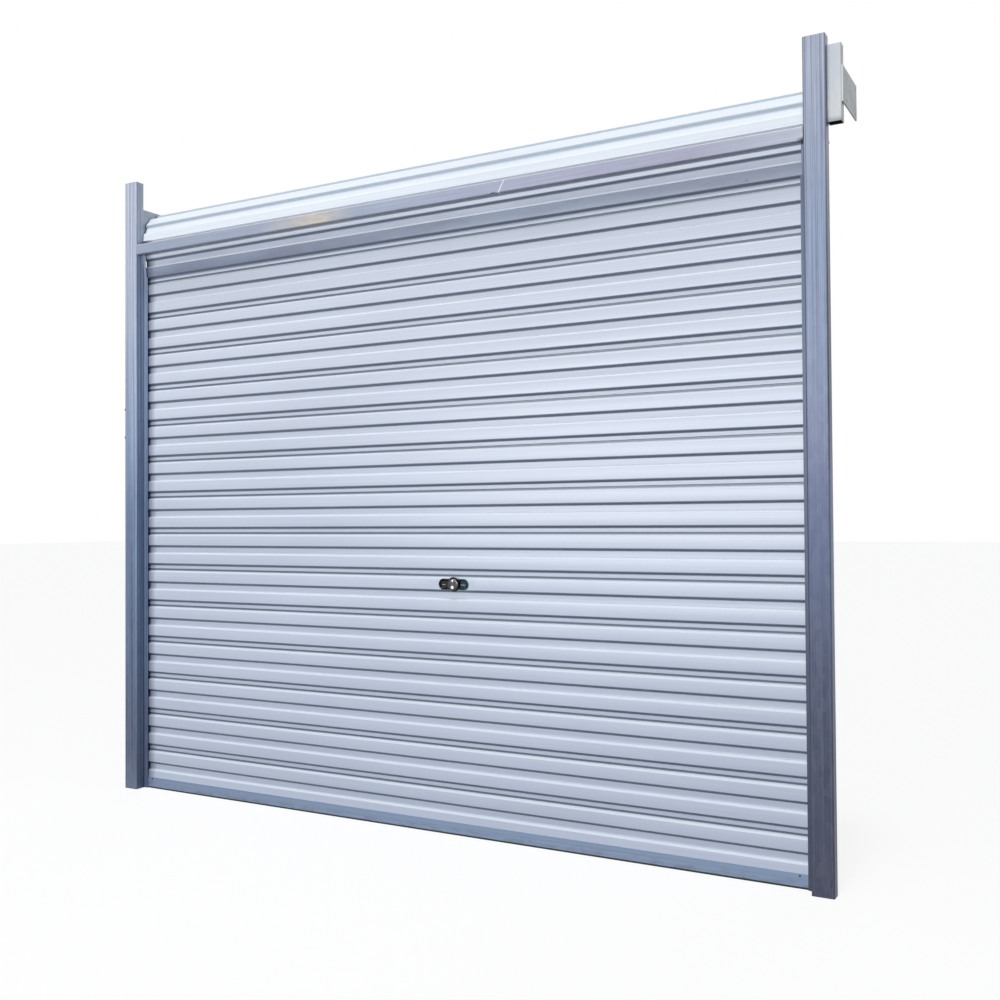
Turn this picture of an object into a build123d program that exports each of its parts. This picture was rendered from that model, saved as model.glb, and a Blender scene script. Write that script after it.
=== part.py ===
from build123d import *
import os
from math import asin, atan2, ceil, cos, degrees, hypot, pi, radians, sin, sqrt

os.makedirs("parts", exist_ok=True)

# An exterior roller door: two hollow posts, a header bar, a lock-seamed ribbed steel curtain
# that runs in guides behind the posts and winds on a drum behind the header.
# Millimetres. +Z is up, +X is to the right seen from outside, and the outside looks along +Y.
# The origin is at floor level, midway between the posts, in the plane of their front faces.

# Posts, rectangular hollow section
post_height = 3000.0
overall_width = 3440.0
post_width = 80.0
post_depth = 50.0
post_wall = 3.0
post_corner = 6.0

# Header bar, rectangular hollow section between the posts
header_height = 50.0
header_depth = 25.0
header_wall = 2.0
header_corner = 3.0
header_top = 2685.0
header_notch_place = 391.0
header_notch_width = 22.0
header_notch_height = 4.0

# Guides, extruded channels behind the posts
guide_wall = 2.0
guide_inner_depth = 28.0
guide_lip = 17.0
guide_reach = 25.0
guide_wing = 36.0
guide_top = 2640.0
guide_top_slant = 54.0
guide_flare = 8.0
guide_flare_height = 110.0
guide_flare_gap = 0.5
wear_strip_thickness = 2.5
wear_strip_width = 33.0
wear_strip_proud = 6.0

# Curtain sheet and its ribs
sheet = 0.6
valley_flat = 28.0
crest_flat = 47.0
slope_run = 7.0
rib_depth = 12.0
seam_height = 10.0
seam_proud = 3.0
seam_edge = 1.2
curtain_side_gap = 4.0
crest_plane = 58.0
strip_count = 15
second_strip_top = 2515.5
lock_strip = 10
rivet_inset = 217.0
rivet_rise = 28.0
rivet_radius = 5.0
rivet_height = 1.5

# Drum and roll
drum_y = 192.0
drum_z = 2723.0
roll_radius = 150.0
roll_layer_gap = 0.9
roll_turns = 1.3
roll_step = 14.0
axle_radius = 24.15
axle_wall = 3.2
axle_end = 4.0
running_clearance = 0.05
bush_radius = 30.0
bush_flange_radius = 34.0
bush_flange = 2.5
wheel_width = 40.0
wheel_web = 2.5
wheel_rim = 2.5
wheel_hub_wall = 7.0
wheel_hole_radius = 17.0
wheel_hole_count = 4
wheel_hole_sides = 8
wheel_sides = 24
wheel_end_inset = 70.0
spring_radius = 45.0
spring_wire = 6.0
spring_length = 1100.0
spring_end_gap = 0.3
collar_radius = 50.0
collar_width = 28.0

# Brackets that carry the axle
bracket_thickness = 6.0
bracket_gap = 8.0
bracket_bottom = 2660.0
bracket_top = 2871.0
bracket_depth = 250.0
bracket_nose = 70.0
bracket_foot = 56.0
bracket_shelf = 26.0
bracket_shelf_length = 130.0
bracket_hole_clearance = 1.5
bracket_screw_inset = 30.0
seat_clearance = 0.02
ubolt_rod = 4.0
ubolt_sides = 8
ubolt_bend_runs = 8
ubolt_leg_extra = 18.0
ubolt_hole_clearance = 0.4
ubolt_nut_height = 6.5
ubolt_nut_radius = 7.5

# Screws of the frame
screw_radius = 3.0
screw_grip = 6.0
screw_head_radius = 6.5
screw_head_height = 5.0
screw_clearance = 0.1
guide_screw_count = 5
guide_screw_end = 150.0

# Studs on the outer side of the left post
stud_radius = 4.0
stud_length = 9.5
stud_head_share = 1.3
stud_head_height = 5.0
stud_low = 1733.0
stud_spacing = 139.0
stud_inset = 11.5
stud_nut_radius = 7.5
stud_nut_height = 6.5

# Operator stub and its plate on the outer side of the right post
stub_width = 50.0
stub_depth = 40.0
stub_wall = 2.5
stub_corner = 4.0
stub_front = 22.0
stub_bottom = 2691.0
stub_length = 272.0
plate_thickness = 5.0
plate_bottom = 2757.0
plate_height = 128.0
plate_depth = 228.0
plate_inset = 2.0
plate_hole_radius = 4.5
plate_hole_spacing_y = 160.0
plate_hole_spacing_z = 90.0

# Wall ties in the backs of the posts
tie_hole_radius = 4.5
tie_inset = 12.0
tie_low = 400.0
tie_spacing = 2200.0

# Bottom rail
rail_bottom = 8.0
rail_height = 45.0
rail_front = 55.0
rail_wall = 2.0
rail_depth = 22.0
rail_box_height = 30.0
rail_groove_depth = 20.0
rail_groove_clearance = 0.4
rail_cap_flange = 4.0
rail_cap_plug = 30.0
rail_cap_clearance = 0.2
rail_screw_inset = 45.0
rail_screw_radius = 2.0
rail_screw_head_radius = 4.0
rail_screw_head_height = 1.6
rail_screw_drop = 7.0
seal_width = 12.0
seal_lip = 5.0
handle_width = 150.0
handle_reach = 30.0
handle_rod = 5.0
handle_sides = 8
handle_foot = 24.0
handle_foot_thickness = 3.0

# Lock in the curtain
lock_place = 157.0
lock_dish_width = 146.0
lock_dish_height = 48.0
lock_dish_centre_radius = 31.0
lock_dish_rim = 3.0
lock_dish_flange = 2.5
lock_dish_wall = 1.5
lock_dish_depth = 14.0
lock_cutout_clearance = 0.4
knob_radius = 25.0
knob_front = 50.0
knob_thickness = 10.0
knob_edge = 2.0
knob_grip_width = 12.0
knob_grip_height = 3.0
spindle_radius = 5.0
spindle_clearance = 0.1
key_radius = 6.5
key_drop = 12.0
key_length = 9.0
key_proud = 0.8
key_slot_width = 1.6
key_slot_height = 8.0
key_slot_depth = 4.0
stud_spot_radius = 4.0
stud_spot_rise = 15.0
stud_spot_proud = 0.8
cam_radius = 22.0
cam_thickness = 5.0
cam_sides = 24
cam_pin_sides = 8
cam_pin_circle = 16.0
cam_pin_radius = 2.5
cam_gap = 0.5
bar_height = 17.5
bar_thickness = 1.2
bar_dish_gap = 1.5
bar_spindle_gap = 0.5
bar_slot_clearance = 0.8
bar_slot_edge = 4.0
bar_tip_inset = 4.0
case_width = 100.0
case_height = 70.0
case_wall = 1.5
case_depth = 14.0
case_bar_clearance = 2.0
strap_width = 30.0
strap_height = 88.0
strap_foot = 8.0
strap_thickness = 1.5
strap_gap = 0.5
strap_place_shares = (-0.92, -0.43, 0.55, 0.92)
keeper_height = 8.0
keeper_gap = 2.0
keeper_reach = 22.0
keeper_depth = 7.0

# One overrun for every cut
overrun = 5.0

# Derived sizes
clear_half_width = overall_width / 2 - post_width
curtain_half_width = clear_half_width - curtain_side_gap
post_back = post_depth
header_bottom = header_top - header_height
rib_pitch = valley_flat + crest_flat + 2 * slope_run
strip_pitch = 2 * rib_pitch
valley_plane = crest_plane + rib_depth
valley_back = valley_plane + sheet
seam_shoulder = (valley_flat - seam_height) / 2
guide_mouth = clear_half_width - guide_lip
guide_web_inner = clear_half_width + guide_reach - guide_wall
guide_front_inner = post_back + guide_wall
guide_back_inner = guide_front_inner + guide_inner_depth
roll_valley_radius = roll_radius - rib_depth
roll_growth = rib_depth + sheet + roll_layer_gap
shelf_top = drum_z - axle_radius - seat_clearance
bracket_web_inner = curtain_half_width + bracket_gap
bracket_web_outer = bracket_web_inner + bracket_thickness
axle_half_length = bracket_web_outer + bracket_shelf + axle_end
rail_top = rail_bottom + rail_height
rail_half_length = curtain_half_width - rail_cap_flange
rail_screw_place = rail_half_length - rail_screw_inset
rail_back = rail_front + rail_depth
lock_strip_top = second_strip_top - (lock_strip - 2) * strip_pitch
lock_height = lock_strip_top - seam_height - seam_shoulder - slope_run - crest_flat / 2
dish_back = crest_plane + lock_dish_depth
bar_front = dish_back + bar_dish_gap
bar_back = bar_front + bar_thickness
cam_front = bar_back + cam_gap
cam_back = cam_front + cam_thickness
bar_offset = spindle_radius + bar_spindle_gap + bar_height / 2


def save(name, shape):
    export_step(shape, f"parts/{name}.step")


def block(x_range, y_range, z_range):
    """A box between two corners."""
    size = [abs(b - a) for a, b in (x_range, y_range, z_range)]
    centre = [(a + b) / 2 for a, b in (x_range, y_range, z_range)]
    return Pos(*centre) * Box(*size)


def run_x(outline, start, end):
    """Carries a closed outline of (y, z) points along X."""
    face = make_face(Polyline(*outline, close=True))
    return extrude(Plane.YZ.offset(start) * face, amount=end - start)


def rod(radius, start, end):
    """A round bar from one point to another."""
    along = Vector(*end) - Vector(*start)
    return extrude(Plane(origin=start, z_dir=along) * Circle(radius), amount=along.length)


def many_sided(sides, radius, start, end):
    """A bar with flat sides from one point to another."""
    along = Vector(*end) - Vector(*start)
    return extrude(Plane(origin=start, z_dir=along) * RegularPolygon(radius, sides), amount=along.length)


def hexagon(radius, start, end):
    """A hexagonal bar from one point to another."""
    return many_sided(6, radius, start, end)


def box_section(width, depth, wall, corner, length):
    """A rectangular hollow section standing on its centre."""
    outer = RectangleRounded(width, depth, corner)
    inner = RectangleRounded(width - 2 * wall, depth - 2 * wall, max(corner - wall, corner / 4))
    return extrude(outer - inner, amount=length)


def to_right(shape):
    """The right-hand twin of a left-hand piece."""
    return mirror(shape, about=Plane.YZ)


def joined(shapes):
    """Separate solids kept side by side in one node."""
    return Compound(children=[solid for shape in shapes for solid in shape.solids()])


# Posts
guide_screw_line = clear_half_width + guide_reach + (guide_wing - guide_wall) / 2
bracket_screw_line = bracket_web_outer + bracket_foot / 2
guide_screw_span = guide_top - guide_top_slant - 2 * guide_screw_end
guide_screw_heights = [
    guide_screw_end + guide_screw_span * i / (guide_screw_count - 1) for i in range(guide_screw_count)
]
bracket_screw_heights = [
    bracket_bottom + bracket_screw_inset,
    (bracket_bottom + bracket_top) / 2,
    bracket_top - bracket_screw_inset,
]
screw_places = [(-guide_screw_line, guide_wall, z) for z in guide_screw_heights]
screw_places += [(-bracket_screw_line, bracket_thickness, z) for z in bracket_screw_heights]


def drilled(shape, places, y_start, y_end):
    """Cuts the screw holes that run along Y."""
    for x, _, z in places:
        shape -= hexagon(screw_radius + screw_clearance, (x, y_start, z), (x, y_end, z))
    return shape


tie_places = [(-overall_width / 2 + tie_inset, 0, z) for z in (tie_low, tie_low + tie_spacing)]


def make_post():
    section = box_section(post_width, post_depth, post_wall, post_corner, post_height)
    post = Pos(-overall_width / 2 + post_width / 2, post_depth / 2, 0) * section
    for x, _, z in tie_places:
        post -= rod(tie_hole_radius, (x, post_depth / 2, z), (x, post_depth + overrun, z))
    return drilled(post, screw_places, post_depth / 2, post_depth + overrun)


stud_heights = [stud_low, stud_low + stud_spacing]


def make_left_post():
    post = make_post()
    for z in stud_heights:
        start = (-overall_width / 2 - overrun, stud_inset, z)
        end = (-overall_width / 2 + post_wall + overrun, stud_inset, z)
        post -= hexagon(stud_radius + screw_clearance, start, end)
    return post


def make_studs():
    pieces = []
    face = -overall_width / 2
    for z in stud_heights:
        head_start = (face + post_wall, stud_inset, z)
        head_end = (face + post_wall + stud_head_height, stud_inset, z)
        stud = hexagon(stud_radius, head_end, (face - stud_length, stud_inset, z))
        nut = hexagon(stud_nut_radius, (face, stud_inset, z), (face - stud_nut_height, stud_inset, z))
        pieces.append(stud + nut + hexagon(stud_radius * stud_head_share, head_start, head_end))
    return joined(pieces)


save("left_post", make_left_post())
save("right_post", to_right(make_post()))
save("left_fixing_studs", make_studs())


# Header bar
def make_header():
    length = 2 * clear_half_width
    section = box_section(header_depth, header_height, header_wall, header_corner, length)
    turned = Plane.YZ.offset(-length / 2) * section
    bar = Pos(0, header_depth / 2, header_top - header_height / 2) * turned
    notch = block(
        (header_notch_place - header_notch_width / 2, header_notch_place + header_notch_width / 2),
        (-overrun, header_wall + overrun),
        (header_bottom - overrun, header_bottom + header_notch_height),
    )
    return bar - notch


save("header_bar", make_header())


# Guides and their wear strips
def make_guide():
    """A guide channel as three plates that meet face to face: front with its wing and flare, web, back."""
    web_outer = guide_web_inner + guide_wall
    guide_back = guide_back_inner + guide_wall
    flare_start = guide_top - guide_flare_height
    slant = [
        (post_back, guide_top),
        (guide_back, guide_top - guide_top_slant),
        (guide_back + overrun, guide_top - guide_top_slant),
        (guide_back + overrun, guide_top + overrun),
        (post_back, guide_top + overrun),
    ]
    above = run_x(slant, -web_outer - guide_wing - overrun, -guide_mouth + overrun)
    web = block((-web_outer, -guide_web_inner), (guide_front_inner, guide_back_inner), (0, guide_top))
    back = block((-web_outer, -guide_mouth), (guide_back_inner, guide_back), (0, guide_top))
    front = block((-web_outer - guide_wing, -guide_mouth), (post_back, guide_front_inner), (0, guide_top))
    front -= above
    front -= block(
        (-clear_half_width, -guide_mouth + overrun),
        (post_back - overrun, guide_front_inner),
        (flare_start, guide_top + overrun),
    )
    flare = [
        (post_back, flare_start),
        (guide_front_inner, flare_start),
        (guide_front_inner - guide_flare, guide_top),
        (post_back - guide_flare, guide_top),
    ]
    front += run_x(flare, -clear_half_width + guide_flare_gap, -guide_mouth)
    holes = screw_places[:guide_screw_count]
    front = drilled(front, holes, post_back - overrun, guide_front_inner + overrun)
    return joined([front, web - above, back - above])


def make_wear_strip():
    edge = -guide_mouth + wear_strip_proud
    return block(
        (edge - wear_strip_width, edge),
        (guide_front_inner, guide_front_inner + wear_strip_thickness),
        (0, guide_top - guide_flare_height),
    )


guide = make_guide()
wear_strip = make_wear_strip()
save("left_guide", guide)
save("right_guide", to_right(guide))
save("left_wear_strip", wear_strip)
save("right_wear_strip", to_right(wear_strip))


# Brackets, axle and U-bolts
def make_bracket():
    low_front = (post_back, bracket_bottom)
    rear = post_back + bracket_depth
    outline = [
        low_front,
        (rear - bracket_nose, bracket_bottom),
        (rear, bracket_bottom + bracket_nose / 2),
        (rear, bracket_top - bracket_nose),
        (rear - bracket_nose, bracket_top),
        (post_back, bracket_top),
    ]
    web = run_x(outline, -bracket_web_outer, -bracket_web_inner)
    foot = block(
        (-bracket_web_outer - bracket_foot, -bracket_web_outer + bracket_thickness),
        (post_back, post_back + bracket_thickness),
        (bracket_bottom, bracket_top),
    )
    shelf = block(
        (-bracket_web_outer - bracket_shelf, -bracket_web_outer),
        (drum_y - bracket_shelf_length / 2, drum_y + bracket_shelf_length / 2),
        (shelf_top - bracket_thickness, shelf_top),
    )
    hole = rod(
        axle_radius + bracket_hole_clearance,
        (-bracket_web_outer - overrun, drum_y, drum_z),
        (-bracket_web_inner + overrun, drum_y, drum_z),
    )
    bracket = web + foot + (shelf - hole) - hole
    for y in ubolt_legs:
        bracket -= many_sided(
            ubolt_sides,
            ubolt_rod + ubolt_hole_clearance,
            (ubolt_place, y, shelf_top - bracket_thickness - overrun),
            (ubolt_place, y, shelf_top + overrun),
        )
    holes = screw_places[guide_screw_count:]
    return drilled(bracket, holes, post_back - overrun, post_back + bracket_thickness + overrun)


ubolt_place = -bracket_web_outer - bracket_shelf / 2
ubolt_bend = axle_radius + seat_clearance + ubolt_rod
ubolt_legs = (drum_y - ubolt_bend, drum_y + ubolt_bend)
ubolt_end = shelf_top - bracket_thickness - ubolt_leg_extra


def make_ubolt():
    """A bent rod over the axle, its bend in short straight runs that stay clear of the axle."""
    step = pi / ubolt_bend_runs
    corner = ubolt_bend / cos(step / 2)
    points = [(ubolt_place, drum_y - ubolt_bend, ubolt_end)]
    for i in range(ubolt_bend_runs):
        turn = step * (i + 1 / 2)
        points.append((ubolt_place, drum_y - corner * cos(turn), drum_z + corner * sin(turn)))
    points.append((ubolt_place, drum_y + ubolt_bend, ubolt_end))
    start = Plane(origin=points[0], z_dir=(0, 0, 1))
    path = Polyline(*points)
    return sweep(start * RegularPolygon(ubolt_rod, ubolt_sides), path=path, transition=Transition.RIGHT)


def make_ubolt_nuts():
    pieces = []
    top = shelf_top - bracket_thickness
    for x in (ubolt_place, -ubolt_place):
        for y in ubolt_legs:
            nut = hexagon(ubolt_nut_radius, (x, y, top), (x, y, top - ubolt_nut_height))
            low = top - ubolt_nut_height - overrun
            bore = many_sided(ubolt_sides, ubolt_rod + screw_clearance, (x, y, top + overrun), (x, y, low))
            pieces.append(nut - bore)
    return joined(pieces)


def make_axle():
    outer = rod(axle_radius, (-axle_half_length, drum_y, drum_z), (axle_half_length, drum_y, drum_z))
    bore = rod(
        axle_radius - axle_wall,
        (-axle_half_length - overrun, drum_y, drum_z),
        (axle_half_length + overrun, drum_y, drum_z),
    )
    return outer - bore


bracket = make_bracket()
ubolt = make_ubolt()
save("left_bracket", bracket)
save("right_bracket", to_right(bracket))
save("left_u_bolt", ubolt)
save("right_u_bolt", to_right(ubolt))
save("u_bolt_nuts", make_ubolt_nuts())
save("axle", make_axle())


def make_frame_screws():
    """Hexagon-headed screws through the guide wings and the bracket feet."""
    pieces = []
    for side in (1, -1):
        for x, grip, z in screw_places:
            seat = post_back + grip
            shank = hexagon(screw_radius, (side * x, post_back - screw_grip, z), (side * x, seat, z))
            head = hexagon(screw_head_radius, (side * x, seat, z), (side * x, seat + screw_head_height, z))
            pieces.append(shank + head)
    return joined(pieces)


save("frame_screws", make_frame_screws())


# The roll; the first strip leans from the guide plane back to it and meets it at a tangent
foot_y = valley_plane
foot_z = second_strip_top
reach = hypot(drum_y - foot_y, drum_z - foot_z)
tangent_length = sqrt(reach**2 - roll_valley_radius**2)
lean = atan2(drum_z - foot_z, drum_y - foot_y) + asin(roll_valley_radius / reach) - pi / 2
roll_length = 2 * pi * roll_turns * (roll_valley_radius - roll_growth * roll_turns / 2)


def roll_profile():
    """The wound sheet from the tangent point inward: (place along it, front height, back height)."""
    steps = [
        (seam_shoulder, 0, 0, 0),
        (slope_run, 0, rib_depth, 1),
        (crest_flat, rib_depth, rib_depth, 1),
        (slope_run, rib_depth, 0, 1),
        (valley_flat, 0, 0, 0),
        (slope_run, 0, rib_depth, 1),
        (crest_flat, rib_depth, rib_depth, 1),
        (slope_run, rib_depth, 0, 1),
        (seam_shoulder, 0, 0, 0),
        (seam_edge, 0, seam_proud, 0),
        (seam_height - 2 * seam_edge, seam_proud, seam_proud, 0),
        (seam_edge, seam_proud, 0, 0),
    ]
    points = []
    place = strip_pitch - tangent_length
    while place < roll_length:
        for run, low, high, hollow in steps:
            pieces = max(1, ceil(run / roll_step))
            for i in range(pieces):
                at = place + run * i / pieces
                height = low + (high - low) * i / pieces
                if 0 <= at <= roll_length:
                    points.append((at, height, height * hollow))
            place += run
    while points[-1][1] > 0:
        points.pop()
    return points


def roll_turn(place):
    """The angle about the drum, from the tangent point's side, at a place along the wound sheet."""
    return 2 * pi * roll_turns * place / roll_length - lean


def roll_base(place):
    """The radius of the sheet's valleys at a place along it."""
    return roll_valley_radius - roll_growth * roll_turns * place / roll_length


roll_points = roll_profile()
wheel_radius = roll_base(roll_points[-1][0]) - sheet


# Drum wheels, bushes, springs and collars
def ring(outer, inner, start, end, sides, turn=0.0):
    """A ring about the drum's axis, turned by an angle; its bore is measured across its flats."""
    plane = Plane(origin=(start, drum_y, drum_z), x_dir=(0, 1, 0), z_dir=(1, 0, 0))
    outline = RegularPolygon(outer, sides) - RegularPolygon(inner, sides, major_radius=False)
    return extrude(plane * Rot(0, 0, turn) * outline, amount=end - start)


def make_wheel(x):
    """A drum wheel: hub, web with lightening holes, and rim, one corner of which carries the sheet's end."""
    half = wheel_width / 2
    bore = bush_radius
    turn = 180 - degrees(roll_turn(roll_points[-1][0]))
    hub = ring(bush_radius + wheel_hub_wall, bore, x - half, x + half, wheel_sides)
    web_bore = bore + wheel_hub_wall / 2
    web_start = x - wheel_web / 2
    web_end = x + wheel_web / 2
    web = ring(wheel_radius - wheel_rim / 2, web_bore, web_start, web_end, wheel_sides, turn)
    rim = ring(wheel_radius, wheel_radius - wheel_rim, x - half, x + half, wheel_sides, turn)
    middle = (bush_radius + wheel_hub_wall + wheel_radius - wheel_rim) / 2
    for i in range(wheel_hole_count):
        turn = 2 * pi * (i + 1 / 2) / wheel_hole_count
        y = drum_y + middle * cos(turn)
        z = drum_z + middle * sin(turn)
        web -= many_sided(wheel_hole_sides, wheel_hole_radius, (x - half, y, z), (x + half, y, z))
    return hub + web + rim


def make_bush(x, facing):
    """A plain bush with a flange on the wheel's outer face."""
    bore = axle_radius + running_clearance
    half = wheel_width / 2
    across = bush_radius / cos(pi / wheel_sides)
    sleeve = ring(across, bore, x - half, x + half, wheel_sides)
    ends = sorted((x + facing * half, x + facing * (half + bush_flange)))
    return sleeve + ring(bush_flange_radius, bore, ends[0], ends[1], wheel_sides)


wheel_end_place = curtain_half_width - wheel_end_inset
wheel_places = (-wheel_end_place, 0, wheel_end_place)
for side, x in zip(("left", "centre", "right"), wheel_places):
    save(f"{side}_drum_wheel", make_wheel(x))
save("drum_bushes", joined([make_bush(x, -1 if x < 0 else 1) for x in wheel_places]))


def make_spring(x_start):
    """A close-wound torsion spring, as the sleeve that its turns fill."""
    return ring(spring_radius, spring_radius - spring_wire, x_start, x_start + spring_length, wheel_sides)


def make_collar(x_start):
    """A clamped anchor collar that holds the spring's end on the axle."""
    return ring(collar_radius, axle_radius + running_clearance, x_start, x_start + collar_width, wheel_sides)


spring_start = wheel_end_place - wheel_width / 2 - collar_width
left_spring_start = -spring_start + spring_end_gap
save("left_spring", make_spring(left_spring_start))
save("right_spring", to_right(make_spring(left_spring_start)))
save("left_spring_collar", make_collar(left_spring_start + spring_length + spring_end_gap))
save("right_spring_collar", to_right(make_collar(left_spring_start + spring_length + spring_end_gap)))


# Curtain
def offset_path(path, distance):
    """The path moved sideways, with mitred corners."""
    normals = []
    for a, b in zip(path, path[1:]):
        run = hypot(b[0] - a[0], b[1] - a[1])
        normals.append(((a[1] - b[1]) / run, (b[0] - a[0]) / run))
    moved = []
    for i, point in enumerate(path):
        before = normals[max(i - 1, 0)]
        after = normals[min(i, len(normals) - 1)]
        mitre = 1 + before[0] * after[0] + before[1] * after[1]
        moved.append(tuple(p + distance * (m + n) / mitre for p, m, n in zip(point, before, after)))
    return moved


def rib_steps():
    """Runs down one strip below its seam bead: (length, depth of the face behind the crest plane)."""
    return [
        (seam_shoulder, rib_depth),
        (slope_run, 0),
        (crest_flat, 0),
        (slope_run, rib_depth),
        (valley_flat, rib_depth),
        (slope_run, 0),
        (crest_flat, 0),
        (slope_run, rib_depth),
        (seam_shoulder, rib_depth),
    ]


def strip_outline(steps, top=0.0):
    """The section of a strip: a folded seam bead at its head, then its ribs, as (depth, height)."""
    front = [(rib_depth, top - seam_height)]
    level = top - seam_height
    for run, depth in steps:
        level -= run
        front.append((depth, level))
    face = offset_path([(rib_depth, top)] + front, sheet)
    bead = rib_depth - seam_proud
    head = [
        (bead + seam_edge, top),
        (bead, top - seam_edge),
        (bead, top - seam_height + seam_edge),
        (bead + seam_edge, top - seam_height),
    ]
    return head + front + face[::-1]


def make_strip(top, steps):
    outline = [(crest_plane + depth, top + height) for depth, height in strip_outline(steps)]
    return run_x(outline, -curtain_half_width, curtain_half_width)


def make_first_strip():
    """The leaning strip, with the start of the strip above it as far as the roll."""
    above = tangent_length - strip_pitch
    upper = [(rib_depth, strip_pitch)]
    for run, depth in [(seam_shoulder, rib_depth), (slope_run, 0), (crest_flat, 0)]:
        if above > 0:
            upper.append((depth, upper[-1][1] + min(run, above)))
            above -= run
    bead = rib_depth - seam_proud
    fold = [
        (bead + seam_edge, strip_pitch),
        (bead, strip_pitch - seam_edge),
        (bead, strip_pitch - seam_height + seam_edge),
        (bead + seam_edge, strip_pitch - seam_height),
    ]
    lower = [(rib_depth, strip_pitch - seam_height)]
    for run, depth in rib_steps():
        lower.append((depth, max(lower[-1][1] - run, 0)))
    face = offset_path(upper[::-1] + lower, sheet)
    outline = upper[::-1] + fold + lower + face[::-1]
    turned = []
    for depth, height in outline:
        y = depth - rib_depth
        moved = (y * cos(lean) - height * sin(lean), y * sin(lean) + height * cos(lean))
        turned.append((foot_y + moved[0], foot_z + moved[1]))
    strip = run_x(turned, -curtain_half_width, curtain_half_width)
    face_y = foot_y - rib_depth * cos(lean) - rivet_rise * sin(lean)
    face_z = foot_z - rib_depth * sin(lean) + rivet_rise * cos(lean)
    inward = (cos(lean), sin(lean))
    rivet_x = curtain_half_width - rivet_inset
    start = (rivet_x, face_y - rivet_height * inward[0], face_z - rivet_height * inward[1])
    end = (rivet_x, face_y + sheet * inward[0], face_z + sheet * inward[1])
    return strip + rod(rivet_radius, start, end)


def make_wound_curtain():
    """The sheet wound on the drum: a spiral whose ribs follow the strips."""
    outer = []
    inner = []
    for place, front, back in roll_points:
        turn = roll_turn(place)
        for side, radius in ((outer, roll_base(place) + front), (inner, roll_base(place) + back - sheet)):
            side.append((drum_y - radius * cos(turn), drum_z + radius * sin(turn)))
    return run_x(outer + inner[::-1], -curtain_half_width, curtain_half_width)


def dish_outline(inset):
    """The lens shape of the lock's dish: a slot with a larger circle at its middle."""
    slot = SlotOverall(lock_dish_width - 2 * inset, lock_dish_height - 2 * inset)
    return slot + Circle(lock_dish_centre_radius - inset)


def lock_plane(y):
    """The plane across the lock at a depth, looking out through the front."""
    return Plane(origin=(lock_place, y, lock_height), x_dir=(1, 0, 0), z_dir=(0, -1, 0))


def lock_disc(sketch, front, back):
    """Carries a sketch of the lock from its back face to its front face."""
    return extrude(lock_plane(back) * sketch, amount=back - front)


save("wound_curtain", make_wound_curtain())
save("curtain_strip_01", make_first_strip())
for number in range(2, strip_count + 1):
    top = second_strip_top - (number - 2) * strip_pitch
    steps = rib_steps()
    if number == strip_count:
        above_groove = steps[:6]
        fall = seam_height + sum(run for run, _ in above_groove)
        steps = above_groove + [(top - fall - rail_top + rail_groove_depth, 0)]
    strip = make_strip(top, steps)
    if number == lock_strip:
        hole = dish_outline(lock_dish_rim - lock_cutout_clearance)
        strip -= lock_disc(hole, crest_plane - overrun, valley_back + overrun)
    if number == strip_count:
        z = rail_top - rail_screw_drop
        for x in (-rail_screw_place, rail_screw_place):
            hole_radius = rail_screw_radius + screw_clearance
            strip -= hexagon(hole_radius, (x, crest_plane - overrun, z), (x, valley_back + overrun, z))
    save(f"curtain_strip_{number:02d}", strip)


# Bottom rail
groove_front = rail_front + rail_wall
groove_back = crest_plane + sheet + rail_groove_clearance


def make_rail():
    half = rail_half_length
    groove_floor = rail_top - rail_groove_depth - rail_groove_clearance
    outline = [
        (rail_front, rail_bottom),
        (rail_back, rail_bottom),
        (rail_back, rail_bottom + rail_box_height),
        (groove_back + rail_wall, rail_bottom + rail_box_height),
        (groove_back + rail_wall, rail_top),
        (groove_back, rail_top),
        (groove_back, groove_floor),
        (groove_front, groove_floor),
        (groove_front, rail_top),
        (rail_front, rail_top),
    ]
    rail = run_x(outline, -half, half)
    hollow_top = min(rail_bottom + rail_box_height, groove_floor) - rail_wall
    hollow = block(
        (-half - overrun, half + overrun),
        (rail_front + rail_wall, rail_back - rail_wall),
        (rail_bottom + rail_wall, hollow_top),
    )
    rail -= hollow
    for x in (-rail_screw_place, rail_screw_place):
        z = rail_top - rail_screw_drop
        back = groove_back + rail_wall + overrun
        rail -= hexagon(rail_screw_radius + screw_clearance, (x, rail_front - overrun, z), (x, back, z))
    return rail, hollow_top


rail, rail_hollow_top = make_rail()
save("bottom_rail", rail)


def make_rail_cap():
    """A plastic end cap: a plug in the rail's hollow and a flange that runs in the guide."""
    end = -rail_half_length
    z_range = (rail_bottom, rail_hollow_top + rail_wall)
    flange = block((end - rail_cap_flange, end), (rail_front, rail_back), z_range)
    plug = block(
        (end, end + rail_cap_plug),
        (rail_front + rail_wall + rail_cap_clearance, rail_back - rail_wall - rail_cap_clearance),
        (rail_bottom + rail_wall + rail_cap_clearance, rail_hollow_top - rail_cap_clearance),
    )
    return flange + plug


rail_cap = make_rail_cap()
save("left_rail_cap", rail_cap)
save("right_rail_cap", to_right(rail_cap))


def make_seal():
    """The rubber seal under the rail: a flat head and a rounded lip that meets the floor."""
    middle = (rail_front + rail_back) / 2
    neck = seal_lip / 2
    lip = [
        (rail_front, rail_bottom),
        (rail_front, rail_bottom - neck),
        (rail_front + neck, 0),
        (middle, 0),
        (middle + seal_width / 2, rail_bottom - neck),
        (rail_back, rail_bottom - neck),
        (rail_back, rail_bottom),
    ]
    return run_x(lip, -rail_half_length, rail_half_length)


save("bottom_seal", make_seal())


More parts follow.
